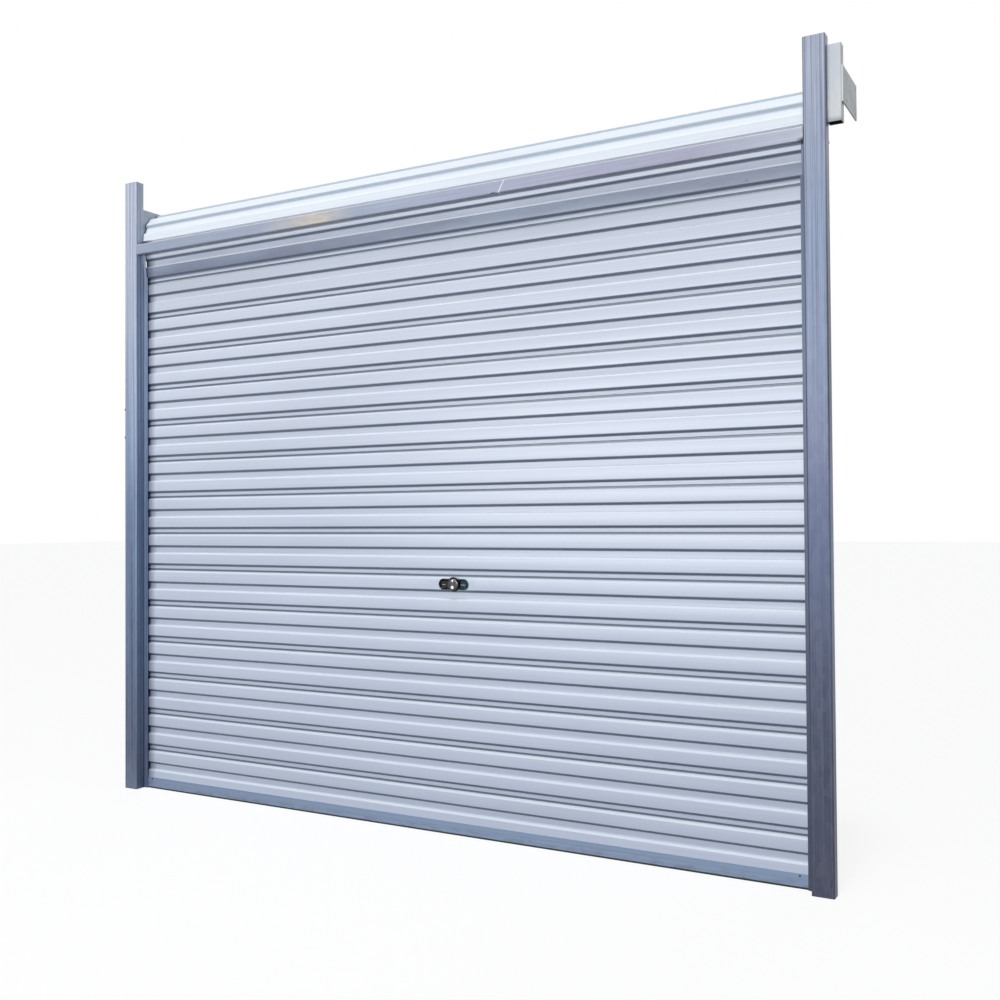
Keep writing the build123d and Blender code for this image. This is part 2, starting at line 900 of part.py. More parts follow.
def make_rail_screws():
    pieces = []
    z = rail_top - rail_screw_drop
    for x in (-rail_screw_place, rail_screw_place):
        shank = hexagon(rail_screw_radius, (x, rail_front, z), (x, groove_back + rail_wall, z))
        head_front = rail_front - rail_screw_head_height
        head = hexagon(rail_screw_head_radius, (x, head_front, z), (x, rail_front, z))
        pieces.append(shank + head)
    return joined(pieces)


def make_lift_handle():
    """The pull handle inside: a bent rod on two feet on the back of the rail."""
    z = rail_bottom + rail_box_height / 2
    start = rail_back + handle_foot_thickness
    half = handle_width / 2
    bend = handle_rod * 2
    path = FilletPolyline(
        (-half, start, z),
        (-half, start + handle_reach, z),
        (half, start + handle_reach, z),
        (half, start, z),
        radius=bend,
    )
    section = Plane(origin=(-half, start, z), z_dir=(0, 1, 0)) * RegularPolygon(handle_rod, handle_sides)
    grip = sweep(section, path=path)
    for x in (-half, half):
        grip += block(
            (x - handle_foot / 2, x + handle_foot / 2),
            (rail_back, start),
            (z - handle_foot / 2, z + handle_foot / 2),
        )
    return grip


save("rail_screws", make_rail_screws())
save("lift_handle", make_lift_handle())


# Lock: dish, knob, key cylinder, cam, bars, case, bar straps and keepers
def make_dish():
    flange_front = crest_plane - lock_dish_flange
    outer = lock_disc(dish_outline(0), flange_front, crest_plane)
    bowl = lock_disc(dish_outline(lock_dish_rim), crest_plane, dish_back)
    inside = dish_outline(lock_dish_rim + lock_dish_wall)
    hollow = lock_disc(inside, flange_front - overrun, dish_back - lock_dish_wall)
    bore = rod(
        spindle_radius + spindle_clearance,
        (lock_place, dish_back - lock_dish_wall - overrun, lock_height),
        (lock_place, dish_back + overrun, lock_height),
    )
    return outer + bowl - hollow - bore


def make_spindle(front, back, clearance):
    """The square spindle from the knob to the cam."""
    half = spindle_radius / sqrt(2) + clearance
    return block(
        (lock_place - half, lock_place + half),
        (front, back),
        (lock_height - half, lock_height + half),
    )


def make_knob():
    back = knob_front + knob_thickness
    disc = lock_disc(Circle(knob_radius), knob_front, back)
    disc = chamfer(disc.faces().sort_by(Axis.Y)[0].edges(), knob_edge)
    key_centre = lock_height - key_drop
    spot_centre = lock_height + stud_spot_rise
    grip = block(
        (lock_place - knob_grip_width / 2, lock_place + knob_grip_width / 2),
        (knob_front - knob_grip_height, knob_front + knob_edge),
        (key_centre - key_radius - knob_edge, spot_centre + stud_spot_radius),
    )
    spot = rod(
        stud_spot_radius,
        (lock_place, knob_front - knob_grip_height - stud_spot_proud, spot_centre),
        (lock_place, knob_front, spot_centre),
    )
    key_bore = rod(
        key_radius + running_clearance,
        (lock_place, knob_front - knob_grip_height - overrun, key_centre),
        (lock_place, knob_front - knob_grip_height + key_length, key_centre),
    )
    key_boss = rod(
        key_radius + knob_edge,
        (lock_place, knob_front - knob_grip_height, key_centre),
        (lock_place, knob_front, key_centre),
    )
    return disc + grip + key_boss + spot + make_spindle(back, cam_back + cam_gap, 0) - key_bore


def make_key_cylinder():
    centre = lock_height - key_drop
    front = knob_front - knob_grip_height - key_proud
    back = knob_front - knob_grip_height + key_length
    barrel = rod(key_radius, (lock_place, front, centre), (lock_place, back, centre))
    slot = block(
        (lock_place - key_slot_width / 2, lock_place + key_slot_width / 2),
        (front - overrun, front + key_slot_depth),
        (centre - key_slot_height / 2, centre + key_slot_height / 2),
    )
    return barrel - slot


pin_across = cam_pin_circle * sin(radians(45))


def make_cam():
    """The cam on the spindle, with one pin for each bar; both stand 45 degrees before the bars' middle."""
    front = (lock_place, cam_front, lock_height)
    disc = many_sided(cam_sides, cam_radius, front, (lock_place, cam_back, lock_height))
    disc -= make_spindle(cam_front - overrun, cam_back + overrun, spindle_clearance)
    for side in (1, -1):
        x = lock_place - side * pin_across
        z = lock_height + side * pin_across
        disc += many_sided(cam_pin_sides, cam_pin_radius, (x, bar_front, z), (x, cam_front, z))
    return disc


def make_bar(side):
    """A flat bar from the cam to the guide, with an upright slot round its cam pin."""
    z = lock_height + side * bar_offset
    pin_x = lock_place - side * pin_across
    slot_half = cam_pin_radius + bar_slot_clearance
    inner_end = pin_x - side * (slot_half + bar_slot_edge)
    tip = side * (curtain_half_width - bar_tip_inset)
    bar = block(
        sorted((inner_end, tip)),
        (bar_front, bar_back),
        (z - bar_height / 2, z + bar_height / 2),
    )
    slot_low = lock_height + side * (pin_across - slot_half)
    slot_high = lock_height + side * (cam_pin_circle + slot_half)
    slot = block(
        (pin_x - slot_half, pin_x + slot_half),
        (bar_front - overrun, bar_back + overrun),
        sorted((slot_low, slot_high)),
    )
    return bar - slot


def make_case():
    """The steel cover over the cam, open to the front, with a way out for each bar."""
    front = valley_back
    back = front + case_depth
    outer = block(
        (lock_place - case_width / 2, lock_place + case_width / 2),
        (front, back),
        (lock_height - case_height / 2, lock_height + case_height / 2),
    )
    inner = block(
        (lock_place - case_width / 2 + case_wall, lock_place + case_width / 2 - case_wall),
        (front - overrun, back - case_wall),
        (lock_height - case_height / 2 + case_wall, lock_height + case_height / 2 - case_wall),
    )
    reach = bar_offset + bar_height / 2 + case_bar_clearance
    ways = block(
        (lock_place - case_width, lock_place + case_width),
        (front - overrun, bar_back + case_bar_clearance),
        (lock_height - reach, lock_height + reach),
    )
    return outer - inner - ways


def make_straps():
    """Bent straps on the back of the curtain that hold the bars close to it."""
    pieces = []
    front = valley_back
    strap_front = bar_back + strap_gap
    half = strap_height / 2
    for share in strap_place_shares:
        x = curtain_half_width * share
        x_range = (x - strap_width / 2, x + strap_width / 2)
        outline = [
            (front, lock_height + half),
            (front, lock_height + half - strap_foot),
            (front + strap_thickness, lock_height + half - strap_foot),
            (strap_front, lock_height + half - strap_foot - strap_thickness),
            (strap_front, lock_height - half + strap_foot + strap_thickness),
            (front + strap_thickness, lock_height - half + strap_foot),
            (front, lock_height - half + strap_foot),
            (front, lock_height - half),
            (front + strap_thickness, lock_height - half),
            (strap_front + strap_thickness, lock_height - half + strap_foot - strap_thickness),
            (strap_front + strap_thickness, lock_height + half - strap_foot + strap_thickness),
            (front + strap_thickness, lock_height + half),
        ]
        pieces.append(run_x(outline, *x_range))
    return joined(pieces)


def make_keeper(side):
    """A block in the guide just above the bar's tip, clear of the bar while it is drawn back."""
    low = lock_height + side * bar_offset + bar_height / 2 + keeper_gap
    return block(
        sorted((side * guide_web_inner, side * (guide_web_inner - keeper_reach))),
        (guide_back_inner - keeper_depth, guide_back_inner),
        (low, low + keeper_height),
    )


save("lock_dish", make_dish())
save("lock_knob", make_knob())
save("key_cylinder", make_key_cylinder())
save("lock_cam", make_cam())
save("right_lock_bar", make_bar(1))
save("left_lock_bar", make_bar(-1))
save("lock_case", make_case())
save("bar_straps", make_straps())
save("right_lock_keeper", make_keeper(1))
save("left_lock_keeper", make_keeper(-1))


# Operator stub and plate
def make_stub():
    section = box_section(stub_width, stub_depth, stub_wall, stub_corner, stub_length)
    return Pos(overall_width / 2 + stub_width / 2, stub_front + stub_depth / 2, stub_bottom) * section


def make_plate():
    face = overall_width / 2 + stub_width
    front = stub_front + plate_inset
    plate = block(
        (face, face + plate_thickness),
        (front, front + plate_depth),
        (plate_bottom, plate_bottom + plate_height),
    )
    middle_y = (stub_front + stub_depth + front + plate_depth) / 2
    middle_z = plate_bottom + plate_height / 2
    for y in (middle_y - plate_hole_spacing_y / 2, middle_y + plate_hole_spacing_y / 2):
        for z in (middle_z - plate_hole_spacing_z / 2, middle_z + plate_hole_spacing_z / 2):
            plate -= rod(plate_hole_radius, (face - overrun, y, z), (face + plate_thickness + overrun, y, z))
    return plate


save("operator_stub", make_stub())
save("operator_plate", make_plate())
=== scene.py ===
import math

import bmesh
import bpy
import numpy as np
from mathutils import Matrix, Vector


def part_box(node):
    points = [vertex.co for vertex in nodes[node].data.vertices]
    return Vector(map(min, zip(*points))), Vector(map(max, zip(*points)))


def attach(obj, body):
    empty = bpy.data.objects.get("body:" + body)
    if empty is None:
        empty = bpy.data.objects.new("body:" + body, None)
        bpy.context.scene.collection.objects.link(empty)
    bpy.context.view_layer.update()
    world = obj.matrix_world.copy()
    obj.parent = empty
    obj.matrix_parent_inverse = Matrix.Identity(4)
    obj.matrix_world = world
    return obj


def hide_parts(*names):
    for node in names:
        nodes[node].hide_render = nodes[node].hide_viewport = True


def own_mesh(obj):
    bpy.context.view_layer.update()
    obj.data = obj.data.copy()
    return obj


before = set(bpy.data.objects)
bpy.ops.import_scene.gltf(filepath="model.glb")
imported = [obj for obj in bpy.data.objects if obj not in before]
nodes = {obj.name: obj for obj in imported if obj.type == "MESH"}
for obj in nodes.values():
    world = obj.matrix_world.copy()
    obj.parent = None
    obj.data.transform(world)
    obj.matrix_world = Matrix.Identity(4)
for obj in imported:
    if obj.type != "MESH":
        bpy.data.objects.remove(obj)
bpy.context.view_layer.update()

# Metres, in the part's own frame: +Z up, +X right seen from outside, +Y inward. A few are counts or shares.
POST_OUTER = 1.720
POST_INNER = 1.640
CURTAIN_HALF = 1.636
CREST_Y = 0.058
VALLEY_Y = 0.070
RIB = 0.012
SHEET = 0.0006
DENT = 0.00016
BEND = 0.003
PITCH = 0.178
SECOND_TOP = 2.5155
FIRST_TOP = 2.706
STRIP_COUNT = 15
LOCK_STRIP = 10
BEAD = 0.010
BEAD_PROUD = 0.003
SHOULDER = 0.009
SLOPE = 0.007
CREST = 0.047
VALLEY = 0.028
# SHADE and the two reaches set how far painted shade runs on past a downward face.
SHADE = 0.005
UNDER_REACH = 0.7 * SHADE
ROLL_REACH = 0.0004
STRIP_TUCK = 0.0195
LAST_CORNER = 14
DRUM_Y = 0.192
DRUM_Z = 2.723
ROLL_VALLEY = 0.138
ROLL_GROWTH = 0.0135
ROLL_TURNS = 1.3
ROLL_SLIP = 0.013
ROLL_PITCHES = 6
HEADER_LOW = 2.635
HEADER_HIGH = 2.685
SCRATCH_X = 0.428
SCRATCH_Z = 2.660
SCRATCH_SLANT = 0.55
STUB_X = 1.745
STUB_Y = 0.042
STUB_FOOT = 2.691
RIVET_X = 1.419
RIVET_UP = 0.028
LOCK_X = 0.157
LOCK_Z = SECOND_TOP - (LOCK_STRIP - 2) * PITCH - BEAD - SHOULDER - SLOPE - CREST / 2
LOBE_PLACE = 0.049
LOBE_RADIUS = 0.024
DISH_CENTRE = 0.031
DISH_INNER = 0.0045
RIM_FRONT = 0.0555
DISH_FLOOR = 0.0705
DISH_WALL = 0.0015
BOWL_TOP = RIM_FRONT + 0.001
CUT_PLAY = 0.0004
CUT_FROM = 0.045
CUT_TO = 0.085
HOLE = 0.0051
KEY_DROP = 0.012
HIGHLIGHT_SPOT_RISE = 0.015
GRIP_HALF = 0.0135
ROD = 0.004
THREAD = 0.030
THREAD_DEPTH = 0.00035
THREAD_PITCH = 0.00125
COIL_WIRE = 0.003
COIL_PITCH = 0.0062
GRIP = 0.005
FOOT = 0.012
FOOT_SEAT = 0.002
GRIP_BEND = 0.014
RAIL_TOP = 0.053

# The camera: its place in metres, its yaw, pitch and roll in degrees, and its lens in millimetres.
CAMERA_PLACE = (2.5908, -3.8964, 1.3078)
CAMERA_TURN = (-29.189, 1.061, 0.367)
CAMERA_LENS = 39.905


def srgb(red, green, blue):
    """A colour in steps of 0 to 255, as the linear values that shaders take."""
    c = np.array([red, green, blue]) / 255
    c = np.where(c <= 0.04045, c / 12.92, ((c + 0.055) / 1.055) ** 2.4)
    return (float(c[0]), float(c[1]), float(c[2]), 1.0)


class Finish:
    """A procedural finish: node helpers around one principled shader, on Object coordinates."""

    def __init__(self, name, colour=(0.5, 0.5, 0.5, 1), metal=0.0, rough=0.5, coat=0.0, coat_rough=0.1):
        self.material = bpy.data.materials.new(name)
        self.material.use_nodes = True
        self.tree = self.material.node_tree
        self.shader = self.tree.nodes["Principled BSDF"]
        self.shader.inputs["Base Color"].default_value = colour
        self.shader.inputs["Metallic"].default_value = metal
        self.shader.inputs["Roughness"].default_value = rough
        self.shader.inputs["Coat Weight"].default_value = coat
        self.shader.inputs["Coat Roughness"].default_value = coat_rough
        self.place = self.tree.nodes.new("ShaderNodeTexCoord").outputs["Object"]

    def link(self, value, socket):
        """Feeds a socket from another node's output, or gives it a plain value."""
        if isinstance(value, bpy.types.NodeSocket):
            self.tree.links.new(value, socket)
        else:
            socket.default_value = value

    def stretched(self, x, y, z):
        """Object coordinates scaled by one factor an axis."""
        node = self.tree.nodes.new("ShaderNodeMapping")
        node.vector_type = "POINT"
        node.inputs["Scale"].default_value = (x, y, z)
        self.link(self.place, node.inputs["Vector"])
        return node.outputs["Vector"]

    def noise(self, vector, scale=1.0, detail=3.0, rough=0.55):
        """A soft cloud pattern, about 0.5."""
        node = self.tree.nodes.new("ShaderNodeTexNoise")
        self.link(vector, node.inputs["Vector"])
        node.inputs["Scale"].default_value = scale
        node.inputs["Detail"].default_value = detail
        node.inputs["Roughness"].default_value = rough
        return node.outputs["Fac"]

    def cells(self, vector, scale=1.0):
        """One random grey for each cell of a cell pattern."""
        node = self.tree.nodes.new("ShaderNodeTexVoronoi")
        self.link(vector, node.inputs["Vector"])
        node.inputs["Scale"].default_value = scale
        split = self.tree.nodes.new("ShaderNodeSeparateColor")
        self.tree.links.new(node.outputs["Color"], split.inputs["Color"])
        return split.outputs["Red"]

    def own(self, name):
        """A value that the mesh keeps at each of its points."""
        node = self.tree.nodes.new("ShaderNodeAttribute")
        node.attribute_name = name
        return node.outputs["Fac"]

    def axis(self, name):
        """One of the Object coordinates."""
        node = self.tree.nodes.new("ShaderNodeSeparateXYZ")
        self.link(self.place, node.inputs["Vector"])
        return node.outputs[name]

    def spread(self, value, low, high, to_low=0.0, to_high=1.0):
        """The value carried from one range to another, and held at its ends."""
        node = self.tree.nodes.new("ShaderNodeMapRange")
        self.link(value, node.inputs["Value"])
        for socket, number in zip(("From Min", "From Max", "To Min", "To Max"), (low, high, to_low, to_high)):
            node.inputs[socket].default_value = number
        return node.outputs["Result"]

    def ramp(self, value, stops):
        """A run of colours along the value, given as (place, colour)."""
        node = self.tree.nodes.new("ShaderNodeValToRGB")
        self.link(value, node.inputs["Fac"])
        run = node.color_ramp.elements
        while len(run) < len(stops):
            run.new(0.5)
        for element, (place, colour) in zip(run, stops):
            element.position = place
            element.color = colour
        return node.outputs["Color"]

    def toned(self, base, value, low, dark, high):
        """The base multiplied by a run from a dark tone to white along the value."""
        run = self.ramp(value, [(low, srgb(*dark)), (high, srgb(255, 255, 255))])
        return self.mix(1.0, base, run, "MULTIPLY")

    def away(self, name, place):
        """The distance from a place along one axis."""
        return self.sum(self.sum(self.axis(name), place, "SUBTRACT"), 0, "ABSOLUTE")

    def sum(self, first, second, kind="ADD"):
        """Two values added, or joined in another way."""
        node = self.tree.nodes.new("ShaderNodeMath")
        node.operation = kind
        self.link(first, node.inputs[0])
        self.link(second, node.inputs[1])
        return node.outputs["Value"]

    def mix(self, share, first, second, kind="MIX"):
        """The second colour laid over the first by a share."""
        node = self.tree.nodes.new("ShaderNodeMix")
        node.data_type = "RGBA"
        node.blend_type = kind
        self.link(share, node.inputs[0])
        self.link(first, node.inputs[6])
        self.link(second, node.inputs[7])
        return node.outputs[2]

    def colour(self, value):
        """Gives the shader its colour."""
        self.link(value, self.shader.inputs["Base Color"])
        return self

    def rough(self, value):
        """Gives the shader its roughness."""
        self.link(value, self.shader.inputs["Roughness"])
        return self

    def bump(self, height, strength, distance):
        """A relief that is added to those the shader already has."""
        node = self.tree.nodes.new("ShaderNodeBump")
        node.inputs["Strength"].default_value = strength
        node.inputs["Distance"].default_value = distance
        self.link(height, node.inputs["Height"])
        if self.shader.inputs["Normal"].is_linked:
            self.tree.links.new(self.shader.inputs["Normal"].links[0].from_socket, node.inputs["Normal"])
        self.tree.links.new(node.outputs["Normal"], self.shader.inputs["Normal"])
        return self


def wear(node_name, finish):
    """Gives a carried-over CAD node its finish."""
    mesh = nodes[node_name].data
    mesh.materials.clear()
    mesh.materials.append(finish.material)


# Finishes
def height_run(finish, stops):
    """The colour at each height, from (height, colour) pairs between the floor and the posts' tops; on the
    posts these runs are painted light and shade.
    """
    return finish.ramp(finish.spread(finish.axis("Z"), 0, 3), [(z / 3, srgb(*c)) for z, c in stops])


def galvanised_post(name, front, side, turn, painted_shade_edge):
    """Zinc coat with painted light and reflection: one run of colour up the front and one up the side, darker
    low, paler high and different on the two faces, with fine upright streaks, faint spangle, a stain and one
    edge darkened as painted shade."""
    finish = Finish(name, metal=0.30, rough=0.42)
    face = height_run(finish, front)
    flank = height_run(finish, side)
    base = finish.mix(finish.spread(finish.axis("X"), *turn), face, flank)
    streak = finish.noise(finish.stretched(190, 190, 0.8), 1, 3, 0.6)
    wide = finish.noise(finish.stretched(70, 70, 0.7), 1, 2, 0.5)
    spangle = finish.cells(finish.stretched(55, 55, 26))
    base = finish.toned(base, streak, 0.38, (190, 194, 208), 0.62)
    base = finish.toned(base, wide, 0.35, (228, 230, 238), 0.65)
    base = finish.mix(0.03, base, finish.ramp(spangle, [(0, srgb(90, 96, 118)), (1, srgb(225, 228, 236))]))
    stain = finish.noise(finish.stretched(30, 30, 3.1), 1, 5, 0.7)
    base = finish.mix(finish.spread(stain, 0.58, 0.78, 0, 0.6), base, srgb(226, 210, 232), "MULTIPLY")
    # Painted shade: one edge of the face darkened.
    edge = finish.spread(finish.axis("X"), *painted_shade_edge)
    finish.colour(finish.mix(finish.sum(edge, 0.55, "MULTIPLY"), base, srgb(54, 62, 80)))
    finish.rough(finish.spread(streak, 0.2, 0.8, 0.34, 0.52))
    return finish.bump(streak, 0.25, 0.0004)


# Painted light and reflection: the colour up each face of a post by height, darker near the floor, paler at
# the top, and different on front and side.
FRONT_RIGHT = [
    (0.05, (66, 71, 92)), (0.5, (64, 72, 94)), (0.8, (62, 73, 99)), (1.1, (68, 82, 112)),
    (1.4, (78, 91, 119)), (1.55, (98, 107, 132)), (1.85, (120, 132, 154)), (2.3, (146, 160, 181)),
    (2.6, (166, 177, 194)), (2.9, (188, 195, 208)),
]
SIDE_RIGHT = [
    (0.05, (58, 64, 80)), (0.5, (92, 98, 118)), (1.1, (147, 159, 181)), (1.4, (152, 166, 190)),
    (1.7, (92, 104, 124)), (1.85, (78, 88, 106)), (2.15, (82, 92, 110)), (2.3, (98, 110, 132)),
    (2.6, (150, 156, 168)), (2.9, (168, 173, 182)),
]
FRONT_LEFT = [
    (0.05, (112, 124, 144)), (0.2, (92, 104, 126)), (0.8, (104, 124, 151)), (1.4, (128, 149, 176)),
    (1.7, (166, 186, 208)), (2.0, (186, 201, 219)), (2.3, (204, 213, 228)), (2.9, (212, 219, 232)),
]
INNER_LEFT = [
    (0.05, (116, 130, 154)), (0.5, (120, 138, 162)), (1.4, (138, 158, 184)), (1.85, (166, 184, 208)),
    (2.45, (176, 192, 212)), (2.75, (204, 213, 226)),
]
# For each post, where X turns from its front to its side, and where its edge of painted shade lies
EDGES = {
    "left": ((-POST_INNER - 0.0045, -POST_INNER - 0.0005), (0.003 - POST_OUTER, 0.0005 - POST_OUTER)),
    "right": ((POST_OUTER - 0.0045, POST_OUTER - 0.0005), (POST_INNER + 0.0075, POST_INNER + 0.0035)),
}
post_finish = {
    "right": galvanised_post("galvanised_post_right", FRONT_RIGHT, SIDE_RIGHT, *EDGES["right"]),
    "left": galvanised_post("galvanised_post_left", FRONT_LEFT, INNER_LEFT, *EDGES["left"]),
}


def dull_zinc(name, colour, dark, light, metal=0.35, rough=0.45, scale=(60, 60, 60)):
    """Zinc coat in cells of spangle, clouded, with a fine grain."""
    finish = Finish(name, metal=metal, rough=rough)
    cells = finish.cells(finish.stretched(*scale))
    cloud = finish.noise(finish.stretched(7, 9, 11), 1, 4, 0.6)
    base = finish.mix(finish.spread(cloud, 0.35, 0.68), srgb(*dark), srgb(*light))
    base = finish.mix(0.22, base, finish.ramp(cells, [(0, srgb(*dark)), (1, srgb(*light))]))
    base = finish.mix(0.45, base, srgb(*colour))
    finish.colour(base)
    grain = finish.noise(finish.stretched(900, 900, 900), 1, 2)
    finish.rough(finish.spread(cells, 0, 1, rough - 0.07, rough + 0.1))
    return finish.bump(grain, 0.12, 0.0003)


def header_zinc():
    """Dull zinc with a lilac cast: a run of colour along it, pale tarnish, one scratch, painted shade along
    its low edge, a painted highlight along its high edge and a dark corner at the right end."""
    finish = Finish("galvanised_header", metal=0.28, rough=0.44)
    run = finish.ramp(finish.spread(finish.axis("X"), -POST_INNER, POST_INNER), [
        (0.0, srgb(166, 178, 196)), (0.45, srgb(170, 180, 198)), (0.72, srgb(172, 175, 194)),
        (0.88, srgb(168, 170, 188)), (1.0, srgb(188, 194, 206)),
    ])
    streak = finish.noise(finish.stretched(2.2, 300, 300), 1, 3, 0.6)
    cloud = finish.noise(finish.stretched(9, 30, 30), 1, 4, 0.6)
    base = finish.toned(run, streak, 0.3, (224, 224, 232), 0.7)
    base = finish.mix(finish.spread(cloud, 0.5, 0.75, 0, 0.25), base, srgb(150, 140, 156))
    along = finish.axis("X")
    tarnish = finish.sum(
        finish.spread(along, -0.85, -0.55, 0, 1), finish.spread(along, -0.30, -0.50, 0, 1), "MULTIPLY"
    )
    mottle = finish.noise(finish.stretched(16, 60, 60), 1, 4, 0.7)
    tarnish = finish.sum(tarnish, finish.spread(mottle, 0.35, 0.6, 0.2, 0.8), "MULTIPLY")
    base = finish.mix(tarnish, base, srgb(214, 200, 172))
    # Painted shade along the low edge, then a painted highlight along the high edge.
    low = finish.spread(finish.axis("Z"), HEADER_LOW + 0.0045, HEADER_LOW + 0.0015)
    base = finish.mix(finish.sum(low, 0.5, "MULTIPLY"), base, srgb(92, 100, 112))
    high = finish.spread(finish.axis("Z"), HEADER_HIGH - 0.005, HEADER_HIGH - 0.002)
    base = finish.mix(finish.sum(high, 0.6, "MULTIPLY"), base, srgb(222, 226, 234))
    slant = finish.sum(along, finish.sum(finish.axis("Z"), SCRATCH_SLANT, "MULTIPLY"), "SUBTRACT")
    off = finish.sum(slant, SCRATCH_X - SCRATCH_SLANT * SCRATCH_Z, "SUBTRACT")
    line = finish.spread(finish.sum(off, 0, "ABSOLUTE"), 0.0045, 0.0020, 0, 0.7)
    scratch = finish.sum(line, finish.spread(mottle, 0.3, 0.45), "MULTIPLY")
    base = finish.mix(scratch, base, srgb(226, 230, 236))
    low_corner = finish.spread(finish.axis("Z"), HEADER_LOW + 0.015, HEADER_LOW + 0.005)
    end = finish.sum(finish.spread(along, POST_INNER - 0.025, POST_INNER - 0.002), low_corner, "MULTIPLY")
    finish.colour(finish.mix(end, base, srgb(66, 54, 44)))
    return finish.bump(streak, 0.2, 0.0003)


def curtain_coat(name, dust_and_shade=False, pale=(216, 222, 234), shade_colour=(98, 110, 128)):
    """Satin pale coil coat with painted light and shade from values of the sheet's points: a painted
    highlight where they face up, painted shade where they face down, and on the first strip dust with painted
    shade of the header, by how far inside they lie. The strips are painted darker towards the floor as shade,
    and at their left end as a shadow of the left post."""
    finish = Finish(name, metal=0.0, rough=0.36, coat=0.2, coat_rough=0.22)
    cloud = finish.noise(finish.stretched(0.9, 3, 2.3), 1, 3, 0.5)
    drawn = finish.noise(finish.stretched(1.1, 260, 260), 1, 2, 0.5)
    base = finish.ramp(cloud, [(0.35, srgb(*pale)), (0.7, srgb(*(step + 6 for step in pale)))])
    base = finish.toned(base, drawn, 0.3, (244, 246, 250), 0.7)
    if dust_and_shade:
        dust = finish.noise(finish.stretched(2.6, 14, 14), 1, 5, 0.65)
        # Dust and painted shade of the header on the first strip, by its inner value.
        inner = finish.own("inner")
        base = finish.mix(inner, base, srgb(136, 150, 172))
        dust = finish.sum(finish.spread(dust, 0.40, 0.62, 0, 0.5), inner, "MULTIPLY")
        base = finish.mix(dust, base, srgb(116, 116, 140))
    # Painted highlight where the sheet faces up, painted shade where it faces down.
    base = finish.mix(finish.own("upward_highlight"), base, srgb(240, 245, 250))
    base = finish.mix(finish.own("downward"), base, srgb(*shade_colour))
    if not name.endswith("roll"):
        # Painted shade towards the floor, and a painted shadow of the left post at the strips' left end.
        run = finish.ramp(finish.spread(finish.axis("Z"), 0, 2.5), [
            (0.0, srgb(222, 226, 232)), (0.45, srgb(238, 241, 245)), (0.9, srgb(255, 255, 255))
        ])
        base = finish.mix(1.0, base, run, "MULTIPLY")
        base = finish.mix(finish.spread(finish.axis("X"), -1.570, -1.622, 0, 0.8), base, srgb(62, 72, 94))
    finish.colour(base)
    finish.rough(finish.spread(cloud, 0.3, 0.7, 0.32, 0.42))
    return finish


def painted(name, colour, shade, rough, grain=700, coat_weight=0.0):
    """Sprayed paint: a slight cloud of shade over the colour, and orange peel."""
    finish = Finish(name, rough=rough, coat=coat_weight, coat_rough=0.15)
    cloud = finish.noise(finish.stretched(11, 11, 11), 1, 4, 0.6)
    finish.colour(finish.mix(finish.spread(cloud, 0.35, 0.7), srgb(*colour), srgb(*shade)))
    peel = finish.noise(finish.stretched(grain, grain, grain), 1, 2)
    finish.rough(finish.spread(cloud, 0.3, 0.7, rough - 0.05, rough + 0.08))
    return finish.bump(peel, 0.12, 0.0003)


coat = curtain_coat("curtain_coat")
dust_and_shade_coat = curtain_coat("curtain_coat_dust_and_shade", True)
# Painted light: the wound roll takes a paler copy of the coat, with paler painted shade, standing in for
# light from above.
lit_roll_coat = curtain_coat("curtain_coat_lit_roll", False, (236, 242, 247), (178, 193, 207))
rivet_coat = painted("rivet_coat", (150, 160, 172), (126, 136, 150), 0.4)
header_finish = header_zinc()
bracket_zinc = dull_zinc("galvanised_bracket", (176, 186, 200), (150, 160, 176), (198, 206, 216))
axle_finish = dull_zinc("axle_steel", (120, 122, 126), (84, 84, 86), (150, 150, 152), 0.6, 0.4, (8, 120, 120))
bright_zinc = dull_zinc(
    "bright_zinc", (176, 178, 184), (150, 152, 158), (204, 206, 210), 0.75, 0.3, (300, 300, 300)
)
lock_steel = dull_zinc(
    "lock_steel", (160, 162, 166), (132, 134, 140), (188, 190, 194), 0.7, 0.34, (120, 120, 120)
)
wheel_paint = painted("wheel_paint", (104, 110, 116), (86, 92, 98), 0.42)
# Guides and wear strips take a copy of the posts' painted light and shade; on the right its painted shade
# edge darkens them beside the curtain.
lip_shaded_zinc = {
    "left": galvanised_post("lip_shaded_zinc_left", INNER_LEFT, INNER_LEFT, *EDGES["left"]),
    "right": galvanised_post("lip_shaded_zinc_right", FRONT_RIGHT, FRONT_RIGHT, *EDGES["right"]),
}
cap_plastic = painted("cap_plastic", (44, 44, 47), (58, 58, 62), 0.5)
seal_rubber = painted("seal_rubber", (34, 34, 35), (52, 51, 50), 0.75, 400)
bush_plastic = painted("bush_plastic", (226, 222, 208), (210, 205, 190), 0.4)
black_oxide = painted("black_oxide", (36, 36, 40), (54, 54, 58), 0.4)
spring_finish = painted("spring_oiled", (66, 66, 70), (48, 47, 49), 0.32, 500, 0.3)


def stub_finish():
    """Pale grey and cream coat, darker at the foot of the stub, with painted shade in black inside it."""
    finish = Finish("stub_coat", metal=0.05, rough=0.4)
    cloud = finish.noise(finish.stretched(26, 26, 9), 1, 4, 0.6)
    base = finish.mix(finish.spread(cloud, 0.35, 0.7), srgb(206, 213, 222), srgb(226, 226, 222))
    low = finish.spread(finish.axis("Z"), STUB_FOOT + 0.019, STUB_FOOT - 0.001)
    base = finish.mix(low, base, srgb(150, 156, 164))
    # Painted shade: the inside of the open stub painted black.
    within_x = finish.spread(finish.away("X", STUB_X), 0.0240, 0.0230)
    within_y = finish.spread(finish.away("Y", STUB_Y), 0.0190, 0.0180)
    inside = finish.sum(within_x, within_y, "MULTIPLY")
    base = finish.mix(inside, base, srgb(24, 22, 22))
    finish.colour(base)
    grain = finish.noise(finish.stretched(600, 600, 600), 1, 2)
    return finish.bump(grain, 0.1, 0.0003)


